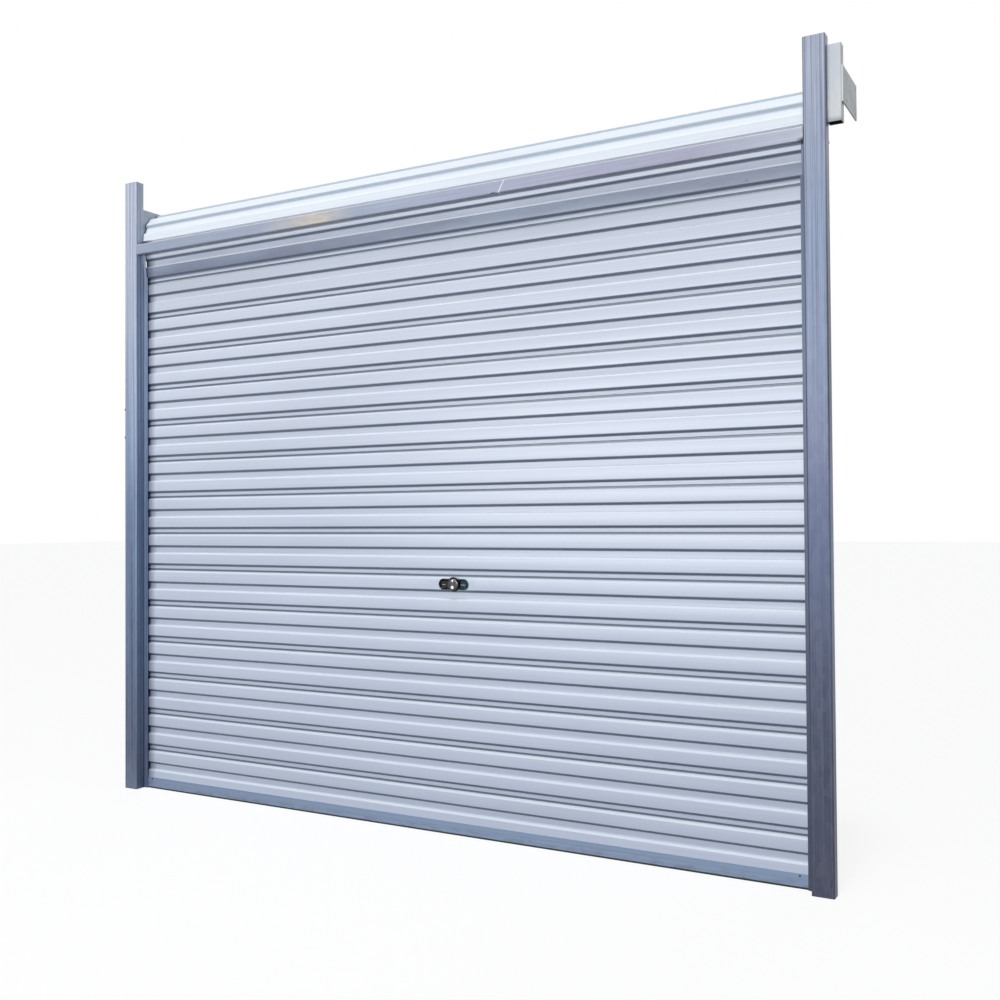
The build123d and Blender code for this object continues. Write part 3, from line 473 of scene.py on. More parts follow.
def plate_finish():
    """Dull greenish grey plate, mottled, with a lighter edge to the front."""
    finish = Finish("plate_coat", metal=0.25, rough=0.45)
    cloud = finish.noise(finish.stretched(20, 20, 20), 1, 5, 0.65)
    base = finish.mix(finish.spread(cloud, 0.35, 0.7), srgb(160, 168, 168), srgb(190, 194, 196))
    edge = finish.spread(finish.axis("Y"), 0.034, 0.026)
    finish.colour(finish.mix(finish.sum(edge, 0.7, "MULTIPLY"), base, srgb(214, 220, 224)))
    grain = finish.noise(finish.stretched(300, 300, 300), 1, 3)
    return finish.bump(grain, 0.2, 0.0004)


def rail_finish():
    """Mill aluminium, dulled blue grey, with die lines along the rail and splashes near the floor."""
    finish = Finish("rail_aluminium", metal=0.35, rough=0.4)
    lines = finish.noise(finish.stretched(0.8, 900, 900), 1, 2, 0.5)
    splash = finish.noise(finish.stretched(14, 40, 40), 1, 5, 0.7)
    base = finish.ramp(lines, [(0.3, srgb(112, 130, 158)), (0.7, srgb(134, 151, 176))])
    near_floor = finish.spread(finish.axis("Z"), 0.04, 0.008, 0, 0.6)
    low = finish.sum(finish.spread(splash, 0.48, 0.62), near_floor, "MULTIPLY")
    finish.colour(finish.mix(low, base, srgb(98, 100, 110)))
    return finish.bump(lines, 0.2, 0.0003)


def lock_finish():
    """Glossy black moulding with a greenish cast that deepens towards its right lobe."""
    finish = Finish("lock_black", rough=0.10, coat=0.3, coat_rough=0.05)
    finish.shader.inputs["Specular IOR Level"].default_value = 0.25
    cloud = finish.noise(finish.stretched(60, 60, 60), 1, 3, 0.5)
    right = finish.spread(finish.axis("X"), LOCK_X + 0.020, LOCK_X + 0.060)
    base = finish.mix(right, srgb(10, 16, 20), srgb(14, 76, 84))
    finish.colour(finish.mix(finish.spread(cloud, 0.4, 0.7, 0, 0.4), base, srgb(8, 14, 16)))
    return finish


def knob_finish():
    """Glossy dark coat on cast metal, with a brown cast on the worn grip."""
    finish = Finish("knob_coat", rough=0.2, coat=0.5, coat_rough=0.06)
    front = finish.spread(finish.axis("Y"), 0.0490, 0.0470)
    worn = finish.noise(finish.stretched(90, 90, 90), 1, 4, 0.6)
    base = finish.mix(front, srgb(30, 34, 36), srgb(92, 84, 82))
    finish.colour(finish.mix(finish.spread(worn, 0.4, 0.7, 0, 0.5), base, srgb(24, 26, 28)))
    return finish


def key_finish():
    """Bright chrome, finely turned."""
    finish = Finish("bright_chrome", srgb(236, 238, 238), 1.0, 0.16)
    rings = finish.noise(finish.stretched(900, 900, 900), 1, 2)
    finish.colour(finish.mix(finish.spread(rings, 0.3, 0.7), srgb(228, 231, 232), srgb(246, 248, 248)))
    return finish


rail_aluminium = rail_finish()

wear("header_bar", header_finish)
for side in ("left", "right"):
    wear(f"{side}_post", post_finish[side])
    # Guides and wear strips: painted light and shade copied from the posts.
    wear(f"{side}_guide", lip_shaded_zinc[side])
    wear(f"{side}_wear_strip", lip_shaded_zinc[side])
    wear(f"{side}_bracket", bracket_zinc)
    wear(f"{side}_u_bolt", bright_zinc)
    wear(f"{side}_spring", spring_finish)
    wear(f"{side}_spring_collar", wheel_paint)
    wear(f"{side}_lock_keeper", lock_steel)
    wear(f"{side}_lock_bar", lock_steel)
    wear(f"{side}_rail_cap", cap_plastic)
    wear(f"{side}_drum_wheel", wheel_paint)
wear("centre_drum_wheel", wheel_paint)
wear("left_fixing_studs", black_oxide)
wear("u_bolt_nuts", bright_zinc)
wear("axle", axle_finish)
wear("frame_screws", bright_zinc)
wear("operator_stub", stub_finish())
wear("operator_plate", plate_finish())
wear("drum_bushes", bush_plastic)
wear("bottom_rail", rail_aluminium)
wear("bottom_seal", seal_rubber)
wear("rail_screws", black_oxide)
wear("lift_handle", bright_zinc)
wear("lock_case", lock_steel)
wear("bar_straps", lock_steel)
wear("lock_cam", lock_steel)


# Shapes
def shown(name, points, faces, finish, body, *stands_for, smooth=35, values=None):
    """A mesh from whole arrays, with outward faces, on its body in place of its CAD nodes."""
    mesh = bpy.data.meshes.new(name)
    mesh.from_pydata(points.reshape(-1, 3).tolist(), [], faces)
    for key, numbers in (values or {}).items():
        kept = mesh.attributes.new(key, "FLOAT", "POINT")
        kept.data.foreach_set("value", numbers.ravel().astype(np.float32))
    work = bmesh.new()
    work.from_mesh(mesh)
    bmesh.ops.remove_doubles(work, verts=work.verts, dist=1e-7)
    bmesh.ops.recalc_face_normals(work, faces=work.faces)
    work.to_mesh(mesh)
    work.free()
    mesh.shade_smooth()
    mesh.set_sharp_from_angle(angle=math.radians(smooth))
    mesh.materials.append(finish.material)
    piece = bpy.data.objects.new(name, mesh)
    bpy.context.scene.collection.objects.link(piece)
    if stands_for:
        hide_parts(*stands_for)
    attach(piece, body)
    return piece


def grid_faces(rows, columns, wrap_rows=False, wrap_columns=False):
    """The four-sided faces between neighbouring points of a grid, row after row."""
    down, along = np.arange(rows - (not wrap_rows)), np.arange(columns - (not wrap_columns))
    i, j = np.meshgrid(down, along, indexing="ij")
    after, beside = (i + 1) % rows, (j + 1) % columns
    corners = (i * columns + j, after * columns + j, after * columns + beside, i * columns + beside)
    return np.stack(corners, -1).reshape(-1, 4).tolist()


def rounded(corners, radius, steps=5):
    """An open path with each corner swapped for an arc (1-u)^2 a + 2u(1-u) c + u^2 b, where a and b lie on
    the runs beside the corner c, at most the radius and 0.45 of the run away."""
    path = np.asarray(corners, float)
    corner = path[1:-1]
    before, after = path[:-2] - corner, path[2:] - corner
    long_before = np.linalg.norm(before, axis=1, keepdims=True)
    long_after = np.linalg.norm(after, axis=1, keepdims=True)
    reach = np.minimum(radius, 0.45 * np.minimum(long_before, long_after))
    start = corner + before / long_before * reach
    end = corner + after / long_after * reach
    u = np.linspace(0, 1, steps)[None, :, None]
    arcs = (1 - u) ** 2 * start[:, None] + 2 * u * (1 - u) * corner[:, None] + u**2 * end[:, None]
    return np.vstack([path[:1], arcs.reshape(-1, 2), path[-1:]])


def moved_aside(path, distance):
    """The path moved along its normals, which are its chords between neighbours turned a quarter."""
    chord = np.gradient(path, axis=0)
    chord /= np.linalg.norm(chord, axis=1, keepdims=True)
    return path + distance * np.stack([chord[:, 1], -chord[:, 0]], axis=1)


def strip_corners(bead):
    """One pitch of the sheet as (distance down it, height above the valley): seam, rib, valley, rib."""
    lip = BEAD_PROUD if bead else 0
    # The corners at SHADE past each downward face and the seam bead mark where painted shade ends.
    run = np.array([0, 0.0002, 0.0014, 0.0086, 0.0096, 0.0092, 0.0092 + SHADE])
    rise = np.array([0, lip * 0.55, lip, lip, lip * 0.72, lip * 0.05, 0])
    runs = [SHOULDER, SLOPE, CREST, SLOPE, SHADE, VALLEY - SHADE]
    runs += [SLOPE, CREST, SLOPE, SHADE, SHOULDER - SHADE]
    heights = np.array([0, RIB, RIB, 0, 0, 0, RIB, RIB, 0, 0, 0])
    if not bead:
        run = np.array([0, 0.0012, 0.003, 0.0055, 0.008, 0.0096, 0.0092 + SHADE])
    return np.vstack([np.column_stack([run, rise]), np.column_stack([np.cumsum(runs) + BEAD, heights])])


def sheet_section(front, back):
    """The two sides of a formed sheet: both paths rounded, and the back one moved in by the thickness."""
    return rounded(front, BEND), moved_aside(rounded(back, BEND), SHEET)


def dented(x, place):
    """The sheet's slight unevenness: a product of a sine along it and one down it, plus two slanted sines."""
    wave = np.sin(2.3 * x + 31 * place) * np.sin(9 * place + 0.6) + 0.6 * np.sin(5.1 * x - 17 * place + 1.1)
    return DENT * (wave + 0.5 * np.sin(11 * x + 47 * place))


def facing(face, rear, sense):
    """How far each point of the front faces down or up, 0 to 1: its slope as a share of a rib side's slope;
    these values place painted shade and painted highlights. The value for down is the greatest that is found
    within a short reach before the point, so painted shade runs a little past each edge."""
    chord = np.gradient(face, axis=0)
    tilt = -sense * chord[:, 1] / np.linalg.norm(chord, axis=1) * math.hypot(RIB, SLOPE) / RIB
    before = sense * (face[:, None, 0] - face[None, :, 0])
    reach = UNDER_REACH if sense > 0 else ROLL_REACH
    near = (before > -0.0001) & (before < reach)
    downward = np.where(near, np.clip(tilt, 0, 1)[None, :], 0).max(axis=1)
    blank = np.zeros(len(rear))
    return np.append(downward, blank), np.append(np.clip(-tilt, 0, 1), blank)


def formed_sheet(name, face, rear, carry, body, node_name, stations=25, sense=1, finish=coat):
    """The section carried along X: ring k of n + 1 holds its points at x = half (2k / n - 1), moved along
    their normals by the unevenness. Its points keep values for painted light and shade: how far they face up,
    for a painted highlight, and down, for painted shade, where a seam's foot counts as down; on the first
    strip also how far inside they lie, for dust and painted shade of the header, and a painted highlight over
    its top band."""
    section = np.vstack([face, rear[::-1]])
    downward, upward_highlight = facing(face, rear, sense)
    xs = np.linspace(-CURTAIN_HALF, CURTAIN_HALF, stations)
    y, z, outward = carry(section)
    bow = dented(xs[:, None], z[None, :])
    points = np.stack([
        np.broadcast_to(xs[:, None], bow.shape),
        y[None, :] + bow * outward[0][None, :],
        z[None, :] + bow * outward[1][None, :],
    ], axis=-1)
    count = len(section)
    faces = grid_faces(stations, count, wrap_columns=True)
    k = np.arange(len(face) - 1)
    cap = np.stack([k, k + 1, count - 2 - k, count - 1 - k], -1)
    faces += cap.tolist() + (cap[:, ::-1] + count * (stations - 1)).tolist()
    values = {"upward_highlight": np.tile(upward_highlight, stations)}
    if finish is dust_and_shade_coat:
        # First strip: dust and painted shade of the header lower down it, less painted shade on the lead
        # above its seam, and a painted highlight over its top band next to the header.
        down = [0.060, 0.079, 0.108, 0.114, 0.162, PITCH]
        below = np.interp(section[:, 0], down, [0, 0.3, 0.35, 0.9, 1, 0.5])
        downward = downward * np.where(section[:, 0] < 0, 0.25, 1)
        values["inner"] = np.tile(below, stations)
        painted_bright_band = (section[:, 0] < 0.062) & (np.arange(count) < len(face))
        values["upward_highlight"] = np.tile(np.where(painted_bright_band, 1, upward_highlight), stations)
    if finish is not lit_roll_coat:
        # Painted shade beneath each seam bead.
        seam = np.interp(section[:, 0], [0.0098, 0.0102, 0.0165, 0.0190], [0, 1, 1, 0])
        downward = np.maximum(downward, seam * (np.arange(count) < len(face)))
    values["downward"] = np.tile(downward, stations)
    return shown(name, points, faces, finish, body, node_name, smooth=50, values=values)


def hanging(top):
    """Distance down and height become (y, z) of a plumb strip."""
    def carry(section):
        flat = np.ones(len(section))
        return VALLEY_Y - section[:, 1], top - section[:, 0], (-flat, 0 * flat)
    return carry


# The leaning strip: its foot's distance from the axle, its length to the roll, and its lean
TO_AXLE = math.hypot(DRUM_Y - VALLEY_Y, DRUM_Z - SECOND_TOP)
TANGENT = math.sqrt(TO_AXLE**2 - ROLL_VALLEY**2)
LEAN = math.atan2(DRUM_Z - SECOND_TOP, DRUM_Y - VALLEY_Y) + math.asin(ROLL_VALLEY / TO_AXLE) - math.pi / 2
ROLL_LENGTH = 2 * math.pi * ROLL_TURNS * (ROLL_VALLEY - ROLL_GROWTH * ROLL_TURNS / 2)


def leaning(section):
    """Distance down and height turned by the lean about the strip's foot."""
    up, out = PITCH - section[:, 0], -section[:, 1]
    y = VALLEY_Y + out * math.cos(LEAN) - up * math.sin(LEAN)
    z = SECOND_TOP + out * math.sin(LEAN) + up * math.cos(LEAN)
    flat = np.ones(len(section))
    return y, z, (-math.cos(LEAN) * flat, -math.sin(LEAN) * flat)


def wound(section):
    """Distance along becomes the angle of a spiral about the drum, and height adds to its radius."""
    share = section[:, 0] / ROLL_LENGTH
    turn = 2 * math.pi * ROLL_TURNS * share - LEAN
    radius = ROLL_VALLEY - ROLL_GROWTH * ROLL_TURNS * share + section[:, 1]
    return DRUM_Y - radius * np.cos(turn), DRUM_Z + radius * np.sin(turn), (-np.cos(turn), np.sin(turn))


def cut_path(path, low, high):
    """The part of a path between two distances, with its ends worked out on the runs they fall in."""
    ends = np.array([[d, np.interp(d, path[:, 0], path[:, 1])] for d in (low, high)])
    inside = path[(path[:, 0] > low + 1e-6) & (path[:, 0] < high - 1e-6)]
    return np.vstack([ends[:1], inside, ends[1:]])


def squash_strip(piece):
    """Gives the piece its own copy of its mesh; the tops of the strips are worked out but not used."""
    tops = {n: SECOND_TOP - (n - 2) * PITCH for n in range(2, STRIP_COUNT + 1)}
    tops[1] = FIRST_TOP
    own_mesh(piece)


def rivet_head(x, up):
    """A low dome on the leaning strip: rings that shrink as its height rises along the strip's normal."""
    rows = np.array([
        [0.0056, -0.0006], [0.0052, 0.0], [0.0050, 0.0006], [0.0040, 0.0012], [0.0022, 0.0016], [0, 0.0017]
    ])
    sides = 32
    angle = np.linspace(0, 2 * math.pi, sides, endpoint=False)
    across = x + rows[:, :1] * np.cos(angle)
    section = np.column_stack([
        (PITCH - up - rows[:, :1] * np.sin(angle)).ravel(), (RIB + rows[:, 1:] + 0 * angle).ravel()
    ])
    points = np.column_stack([across.ravel(), *leaning(section)[:2]])
    return points, grid_faces(len(rows), sides, wrap_columns=True) + [list(range(sides))]


lower = SECOND_TOP - (STRIP_COUNT - 2) * PITCH
for number in range(1, STRIP_COUNT + 1):
    front, back = strip_corners(True), strip_corners(False)
    body = "frame" if number == 1 else f"strip_{number:02d}"
    carry = leaning if number == 1 else hanging(SECOND_TOP - (number - 2) * PITCH)
    if number == 1:
        rise = TANGENT - PITCH
        lead = np.array([[-rise, RIB], [-SHOULDER - SLOPE, RIB], [-SHOULDER, 0]])
        front, back = np.vstack([lead, front]), np.vstack([lead, back])
    if number == STRIP_COUNT:
        foot = [[lower - RAIL_TOP + STRIP_TUCK, RIB]]
        front, back = np.vstack([front[:LAST_CORNER], foot]), np.vstack([back[:LAST_CORNER], foot])
    face, rear = sheet_section(front, back)
    strip = formed_sheet(
        f"ribbed_strip_{number:02d}", face, rear, carry, body, f"curtain_strip_{number:02d}",
        finish=dust_and_shade_coat if number == 1 else coat,
    )
    if number == 1:
        points, faces = rivet_head(RIVET_X, RIVET_UP)
        rivet = shown("strip_rivet", points, faces, rivet_coat, body, smooth=40)
        squash_strip(rivet)
    if number == LOCK_STRIP:
        lock_sheet = strip
    else:
        squash_strip(strip)


def whole_roll(bead):
    """The pitch turned end for end and repeated, from the leaning strip's end to the end of a seam."""
    one = strip_corners(bead)[::-1] * np.array([-1, 1]) + np.array([PITCH, 0])
    shifts = np.zeros((ROLL_PITCHES, 1, 2))
    shifts[:, 0, 0] = np.arange(ROLL_PITCHES) * PITCH + PITCH - TANGENT - ROLL_SLIP
    path = (one[None, :-1] + shifts).reshape(-1, 2)
    return cut_path(path, 0, path[-1, 0])


face, rear = sheet_section(whole_roll(True), whole_roll(False))
formed_sheet(
    "wound_sheet", face, rear, wound, "drum", "wound_curtain", stations=21, sense=-1, finish=lit_roll_coat
)


def turned(rows, centre, sides=64):
    """Rings about an axis along Y through (x, z): ring k has radius rows[k][0] at depth rows[k][1]."""
    radius, depth = np.asarray(rows, float).T
    angle = np.linspace(0, 2 * math.pi, sides, endpoint=False)
    points = np.stack([
        centre[0] + radius[:, None] * np.cos(angle),
        np.broadcast_to(depth[:, None], (len(rows), sides)),
        centre[1] + radius[:, None] * np.sin(angle),
    ], axis=-1)
    return points.reshape(-1, 3), grid_faces(len(rows), sides, wrap_columns=True)


def swept(path, radius, sides=12):
    """A round bar along a path: circles of the given radius at each point, square to its chord, with closed
    ends. The first side direction is the chord crossed with the path's plane normal."""
    chord = np.gradient(path, axis=0)
    chord /= np.linalg.norm(chord, axis=1, keepdims=True)
    plane = np.linalg.svd(path - path.mean(axis=0))[2][2]
    first = np.cross(chord, plane)
    first /= np.linalg.norm(first, axis=1, keepdims=True)
    second = np.cross(chord, first)
    radius = np.broadcast_to(radius, len(path)).copy()
    path = np.vstack([path[:1], path, path[-1:]])
    radius = np.concatenate([[0], radius, [0]])
    first, second = (np.vstack([side[:1], side, side[-1:]]) for side in (first, second))
    angle = np.linspace(0, 2 * math.pi, sides, endpoint=False)[None, :, None]
    round_about = np.cos(angle) * first[:, None] + np.sin(angle) * second[:, None]
    points = path[:, None] + radius[:, None, None] * round_about
    return points.reshape(-1, 3), grid_faces(len(path), sides, wrap_columns=True)


def together(*parts):
    """Several (points, faces) as one, with the face numbers moved on."""
    points, faces, start = [], [], 0
    for some_points, some_faces in parts:
        points.append(some_points)
        faces += [[corner + start for corner in face] for face in some_faces]
        start += len(some_points)
    return np.vstack(points), faces


# Lock
def dish_edge(angle, inset):
    """The outline's distance from its middle: the farther of a circle and a band round two lobes."""
    lobe = LOBE_RADIUS - inset
    across, up = np.abs(np.cos(angle)), np.maximum(np.abs(np.sin(angle)), 1e-6)
    end = LOBE_PLACE * across + np.sqrt(np.maximum(lobe**2 - (LOBE_PLACE * up) ** 2, 0))
    band = np.where(lobe / up * across <= LOBE_PLACE, lobe / up, end)
    return np.maximum(band, DISH_CENTRE - inset)


def bowl_share(x, z):
    """The depth as a share: the deeper of round troughs in the lobes and a flat-floored round pocket."""
    lobe = LOBE_RADIUS - DISH_INNER
    past = np.abs(x) - LOBE_PLACE
    past = np.where(past > 0, past, past * 0.45)
    trough = np.sqrt(np.clip(1 - (past**2 + z**2) / lobe**2, 0, 1))
    pocket = np.clip(1 - (np.hypot(x, z) / (DISH_CENTRE - DISH_INNER)) ** 10, 0, 1)
    return np.maximum(0.95 * trough, pocket)


def dish_surface():
    """Rings from the spindle's hole out to the rim, over it, and back behind the bowl to the hole."""
    angle = np.linspace(0, 2 * math.pi, 144, endpoint=False)
    share = 1 - (1 - np.linspace(0, 1, 26)) ** 1.7
    inner = HOLE + share[:, None] * (dish_edge(angle, DISH_INNER) - HOLE)
    x, z = inner * np.cos(angle), inner * np.sin(angle)
    front = BOWL_TOP + (DISH_FLOOR - BOWL_TOP) * bowl_share(x, z)
    rim = np.array([[0.0041, 0.0003], [0.0035, 0], [0.0009, 0], [0.0003, 0.0002], [0, 0.0009], [0, 0.0025]])
    edge = np.stack([dish_edge(angle, inset) for inset in rim[:, 0]])
    edge_depth = RIM_FRONT + rim[:, 1:] + 0 * edge
    outer = HOLE + share[::-1, None] * (dish_edge(angle, DISH_INNER - DISH_WALL) - HOLE)
    behind = np.maximum(front[::-1] + DISH_WALL, CREST_Y)
    radius = np.vstack([inner, edge, outer])
    depth = np.vstack([front, edge_depth, behind])
    points = np.stack([LOCK_X + radius * np.cos(angle), depth, LOCK_Z + radius * np.sin(angle)], axis=-1)
    return points.reshape(-1, 3), grid_faces(len(radius), len(angle), wrap_rows=True, wrap_columns=True)


def cut_for_dish(strip):
    """Takes a prism in the dish's outline out of the sheet, a little larger than the bowl."""
    sides = 96
    angle = np.linspace(0, 2 * math.pi, sides, endpoint=False)
    radius = dish_edge(angle, DISH_INNER - DISH_WALL - CUT_PLAY)
    ring = [LOCK_X + radius * np.cos(angle), LOCK_Z + radius * np.sin(angle)]
    points = np.vstack([
        np.column_stack([ring[0], np.full(sides, depth), ring[1]]) for depth in (CUT_FROM, CUT_TO)
    ])
    mesh = bpy.data.meshes.new("dish_cutter")
    ends = [list(range(sides)), list(range(2 * sides - 1, sides - 1, -1))]
    mesh.from_pydata(points.tolist(), [], grid_faces(2, sides, wrap_columns=True) + ends)
    work = bmesh.new()
    work.from_mesh(mesh)
    bmesh.ops.recalc_face_normals(work, faces=work.faces)
    work.to_mesh(mesh)
    work.free()
    cutter = bpy.data.objects.new("dish_cutter", mesh)
    bpy.context.scene.collection.objects.link(cutter)
    cut = strip.modifiers.new("cut", "BOOLEAN")
    cut.operation = "DIFFERENCE"
    cut.solver = "EXACT"
    cut.object = cutter
    bpy.context.view_layer.update()
    shaped = strip.evaluated_get(bpy.context.evaluated_depsgraph_get())
    sheet = bpy.data.meshes.new_from_object(shaped)
    strip.modifiers.clear()
    old, strip.data = strip.data, sheet
    bpy.data.meshes.remove(old)
    bpy.data.objects.remove(cutter)
    bpy.data.meshes.remove(mesh)


def grip_surface():
    """An upright rounded bar: bands about its middle line that narrow towards the front."""
    rows = np.array([
        [0.0072, 0.0503], [0.0064, 0.0498], [0.0060, 0.0488], [0.0058, 0.0478], [0.0052, 0.0472],
        [0.0040, 0.04702], [0.0020, 0.04698], [0.0, 0.04698],
    ])
    sides = 48
    angle = np.linspace(0, 2 * math.pi, sides, endpoint=False)
    up = np.where(np.sin(angle) > 1e-6, GRIP_HALF, -GRIP_HALF)
    points = np.stack([
        LOCK_X + rows[:, :1] * np.cos(angle),
        rows[:, 1:] + 0 * angle,
        LOCK_Z + rows[:, :1] * np.sin(angle) + up,
    ], axis=-1)
    return points.reshape(-1, 3), grid_faces(len(rows), sides, wrap_columns=True)


def knob_rows():
    """The disc's flat front, rounded edges and back, and the spindle to behind the cam."""
    front = [(0.0, 0.0500), (0.010, 0.0500), (0.0205, 0.0501), (0.0228, 0.0503)]
    edge = [(0.0240, 0.0508), (0.0247, 0.0515), (0.0250, 0.0525)]
    edge += [(0.0250, 0.0590), (0.0246, 0.0597), (0.0240, 0.0600)]
    spindle = [(0.0050, 0.0600), (0.0048, 0.0610), (0.0048, 0.0802), (0.0044, 0.0806), (0.0, 0.0807)]
    return front + edge + spindle


cut_for_dish(lock_sheet)
lock_black = lock_finish()
knob_black = knob_finish()
chrome = key_finish()
points, faces = dish_surface()
shown("lock_recess", points, faces, lock_black, "strip_10", "lock_dish", smooth=50)
boss = [(0.0, 0.0475), (0.0066, 0.0472), (0.0074, 0.0470)]
boss += [(0.0082, 0.0473), (0.0085, 0.0480), (0.0088, 0.0500)]
points, faces = together(
    turned(knob_rows(), (LOCK_X, LOCK_Z)), grip_surface(), turned(boss, (LOCK_X, LOCK_Z - KEY_DROP), 48)
)
shown("turn_knob", points, faces, knob_black, "knob", "lock_knob", smooth=40)
# Painted highlight as a part: a small chrome stud set where the knob shows a small highlight near its top.
highlight_spot = [(0.0, 0.0462), (0.0022, 0.04625), (0.0034, 0.0465), (0.0040, 0.0472), (0.0040, 0.0500)]
points, faces = turned(highlight_spot, (LOCK_X, LOCK_Z + HIGHLIGHT_SPOT_RISE), 36)
shown("knob_highlight_spot", points, faces, chrome, "knob", smooth=40)
wear("key_cylinder", chrome)


# Springs, bolts and handle
def coil(low, high, wire, pitch):
    """A helix about the axle between two corners: x grows by the pitch a turn. The round wire's circle is
    spanned by the direction from the axle and by X, and shrinks to a point at both ends."""
    sides = 8
    middle = (high[2] - low[2]) / 2 - wire
    turns = (high[0] - low[0] - 2 * wire) / pitch
    turn = np.linspace(0, 2 * math.pi * turns, int(turns * 20))[:, None]
    turn = np.vstack([turn[:1], turn, turn[-1:]])
    thick = np.full_like(turn, wire)
    thick[[0, -1]] = 0
    around = np.linspace(0, 2 * math.pi, sides, endpoint=False)[None, :]
    distance = middle + thick * np.cos(around)
    points = np.stack([
        low[0] + wire + pitch * turn / (2 * math.pi) + thick * np.sin(around),
        DRUM_Y + distance * np.cos(turn),
        DRUM_Z + distance * np.sin(turn),
    ], axis=-1)
    return points.reshape(-1, 3), grid_faces(len(turn), sides, wrap_columns=True)


def bolt_path(x, low, bend, top):
    """Up one leg, half round the axle and down the other leg."""
    leg = np.linspace(low, top, 160)
    turn = np.linspace(0, math.pi, 40)[1:-1]
    aside = np.full(len(leg), bend)
    y = DRUM_Y + np.concatenate([-aside, -bend * np.cos(turn), aside])
    z = np.concatenate([leg, top + bend * np.sin(turn), leg[::-1]])
    return np.column_stack([np.full(len(y), x), y, z])


def turned_foot(x, front, z):
    """A flanged round-cornered foot: rings |x|^5 + |z|^5 = 1 that step in at its front and rear faces."""
    sides = 40
    rows = np.array([[0, 0], [0.0116, 0], [0.012, 0.0004], [0.012, 0.0024], [0.0112, 0.003], [0, 0.003]])
    angle = np.linspace(0, 2 * math.pi, sides, endpoint=False)
    shape = (np.abs(np.cos(angle)) ** 5 + np.abs(np.sin(angle)) ** 5) ** (-1 / 5)
    points = np.stack([
        x + rows[:, :1] * shape * np.cos(angle),
        front + rows[:, 1:] + 0 * angle,
        z + rows[:, :1] * shape * np.sin(angle),
    ], axis=-1)
    return points.reshape(-1, 3), grid_faces(len(rows), sides, wrap_columns=True)


for side in ("left", "right"):
    low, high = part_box(f"{side}_spring")
    points, faces = coil(low, high, COIL_WIRE, COIL_PITCH)
    shown(f"{side}_coil", points, faces, spring_finish, "frame", f"{side}_spring", smooth=60)
    low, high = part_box(f"{side}_u_bolt")
    path = bolt_path((low[0] + high[0]) / 2, low[2], (high[1] - low[1]) / 2 - ROD, DRUM_Z)
    groove = 0.5 + 0.5 * np.sin(path[:, 2] * 2 * math.pi / THREAD_PITCH)
    thread = ROD - THREAD_DEPTH * (path[:, 2] < low[2] + THREAD) * groove
    points, faces = swept(path, thread, 16)
    shown(f"{side}_bent_bolt", points, faces, bright_zinc, "frame", f"{side}_u_bolt", smooth=60)

low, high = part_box("lift_handle")
middle = (low[2] + high[2]) / 2
half = (high[0] - low[0]) / 2 - FOOT
bar = high[1] - GRIP
seat = low[1] + FOOT_SEAT
outline = np.array([[-half, seat], [-half, bar], [half, bar], [half, seat]])
bent = rounded(outline, GRIP_BEND, 10)
bent = np.vstack([
    np.linspace(one, other, 4)[:-1] for one, other in zip(bent[:-1], bent[1:])
] + [bent[-1:]])
path = np.column_stack([bent, np.full(len(bent), middle)])
feet = [turned_foot(x, low[1], middle) for x in (-half, half)]
points, faces = together(swept(path, GRIP, 20), *feet)
shown("pull_handle", points, faces, bright_zinc, "rail", "lift_handle", smooth=40)


# Light, floor and camera
def seen_rays(tree):
    """1 for rays from the camera, mirrored rays and rays through glass, and 0 for the rest."""
    path = tree.nodes.new("ShaderNodeLightPath")
    seen = path.outputs["Is Camera Ray"]
    for name in ("Is Glossy Ray", "Is Transmission Ray"):
        most = tree.nodes.new("ShaderNodeMath")
        most.operation = "MAXIMUM"
        tree.links.new(seen, most.inputs[0])
        tree.links.new(path.outputs[name], most.inputs[1])
        seen = most.outputs["Value"]
    return seen


def world_light():
    """Faint cool light, stronger from above than from below; the background itself is white."""
    world = bpy.data.worlds.new("studio")
    bpy.context.scene.world = world
    world.use_nodes = True
    tree = world.node_tree
    tree.nodes.clear()
    place = tree.nodes.new("ShaderNodeTexCoord")
    split = tree.nodes.new("ShaderNodeSeparateXYZ")
    tree.links.new(place.outputs["Generated"], split.inputs["Vector"])
    run = tree.nodes.new("ShaderNodeMapRange")
    run.inputs["From Min"].default_value = -0.25
    run.inputs["From Max"].default_value = 0.35
    tree.links.new(split.outputs["Z"], run.inputs["Value"])
    colours = tree.nodes.new("ShaderNodeValToRGB")
    colours.color_ramp.elements[0].color = (0.05, 0.055, 0.065, 1)
    colours.color_ramp.elements[1].color = (0.19, 0.21, 0.25, 1)
    tree.links.new(run.outputs["Result"], colours.inputs["Fac"])
    soft = tree.nodes.new("ShaderNodeBackground")
    tree.links.new(colours.outputs["Color"], soft.inputs["Color"])
    white = tree.nodes.new("ShaderNodeBackground")
    white.inputs["Color"].default_value = (1, 1, 1, 1)
    mixed = tree.nodes.new("ShaderNodeMixShader")
    tree.links.new(seen_rays(tree), mixed.inputs["Fac"])
    tree.links.new(soft.outputs["Background"], mixed.inputs[1])
    tree.links.new(white.outputs["Background"], mixed.inputs[2])
    out = tree.nodes.new("ShaderNodeOutputWorld")
    tree.links.new(mixed.outputs["Shader"], out.inputs["Surface"])


def lamp(name, towards, strength, angle, colour):
    """A soft far lamp that shines along a direction."""
    light = bpy.data.lights.new(name, "SUN")
    light.energy = strength
    light.angle = math.radians(angle)
    light.color = colour
    piece = bpy.data.objects.new(name, light)
    piece.rotation_euler = Vector(towards).to_track_quat("-Z", "Y").to_euler()
    bpy.context.scene.collection.objects.link(piece)


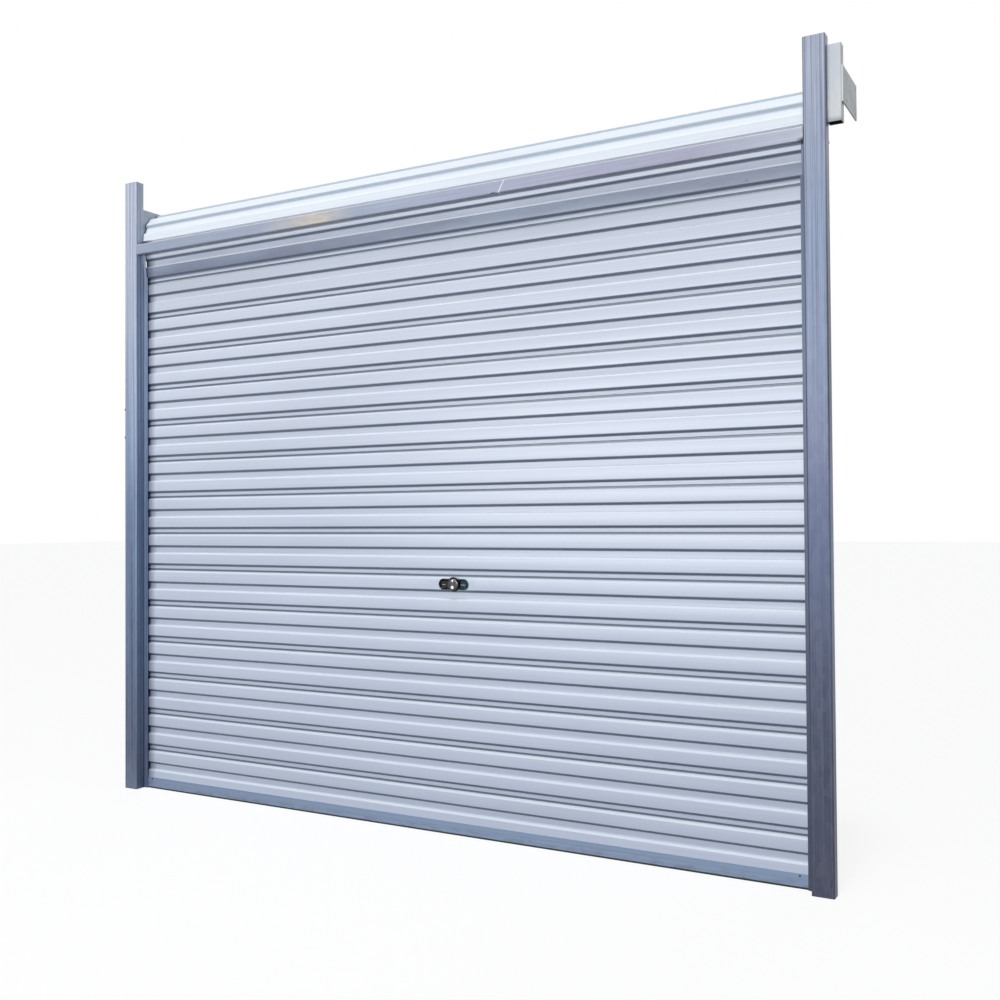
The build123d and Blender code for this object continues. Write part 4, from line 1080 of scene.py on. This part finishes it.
def panel(name, place, aim, size, power, colour):
    """A wide soft panel that stands at a place and faces a point."""
    light = bpy.data.lights.new(name, "AREA")
    light.shape = "RECTANGLE"
    light.size, light.size_y = size
    light.energy = power
    light.color = colour
    piece = bpy.data.objects.new(name, light)
    piece.location = place
    piece.rotation_euler = (Vector(aim) - Vector(place)).to_track_quat("-Z", "Y").to_euler()
    piece.visible_camera = False
    bpy.context.scene.collection.objects.link(piece)


def floor():
    """A wide floor that shows nearly white and keeps a faint shadow, but throws little light up."""
    wide, count = 60.0, 13
    line = np.linspace(-wide, wide, count)
    u, v = np.meshgrid(line, line, indexing="ij")
    points = np.stack([u, v, 0 * u], -1)
    mesh = bpy.data.meshes.new("floor")
    mesh.from_pydata(points.reshape(-1, 3).tolist(), [], grid_faces(count, count))
    material = bpy.data.materials.new("floor")
    material.use_nodes = True
    tree = material.node_tree
    tree.nodes.clear()
    dull = tree.nodes.new("ShaderNodeBsdfDiffuse")
    dull.inputs["Color"].default_value = (0.08, 0.085, 0.10, 1)
    pale = tree.nodes.new("ShaderNodeBsdfDiffuse")
    pale.inputs["Color"].default_value = (0.2, 0.2, 0.2, 1)
    glow = tree.nodes.new("ShaderNodeEmission")
    glow.inputs["Color"].default_value = (1, 1, 1, 1)
    glow.inputs["Strength"].default_value = 0.8
    both = tree.nodes.new("ShaderNodeAddShader")
    tree.links.new(pale.outputs["BSDF"], both.inputs[0])
    tree.links.new(glow.outputs["Emission"], both.inputs[1])
    mixed = tree.nodes.new("ShaderNodeMixShader")
    tree.links.new(seen_rays(tree), mixed.inputs["Fac"])
    tree.links.new(dull.outputs["BSDF"], mixed.inputs[1])
    tree.links.new(both.outputs["Shader"], mixed.inputs[2])
    out = tree.nodes.new("ShaderNodeOutputMaterial")
    tree.links.new(mixed.outputs["Shader"], out.inputs["Surface"])
    mesh.materials.append(material)
    piece = bpy.data.objects.new("floor", mesh)
    bpy.context.scene.collection.objects.link(piece)


def camera():
    """The viewpoint fitted to the photograph, as position, yaw, pitch and roll."""
    yaw, pitch, roll = (math.radians(angle) for angle in CAMERA_TURN)
    ahead = Vector((math.sin(yaw) * math.cos(pitch), math.cos(yaw) * math.cos(pitch), math.sin(pitch)))
    right = Vector((math.cos(yaw), -math.sin(yaw), 0))
    down = ahead.cross(right)
    across = math.cos(roll) * right + math.sin(roll) * down
    downward = -math.sin(roll) * right + math.cos(roll) * down
    data = bpy.data.cameras.new("camera")
    data.sensor_width = 36
    data.lens = CAMERA_LENS
    data.clip_end = 200
    piece = bpy.data.objects.new("camera", data)
    facing_ahead = Matrix((across, -downward, -ahead)).transposed().to_4x4()
    piece.matrix_world = Matrix.Translation(CAMERA_PLACE) @ facing_ahead
    bpy.context.scene.collection.objects.link(piece)
    bpy.context.scene.camera = piece


world_light()
lamp("high_lamp", (-0.05, 0.25, -0.97), 1.6, 12, (1.0, 0.985, 0.96))
panel("front_panel", (-0.6, -8.5, 2.0), (0.0, 0.0, 1.6), (9.0, 1.5), 540, (0.985, 0.99, 1.0))
lamp("rear_lamp", (0.15, -1.0, -0.45), 0.45, 50, (0.95, 0.98, 1.0))
floor()
camera()
bpy.context.scene.view_settings.view_transform = "Standard"
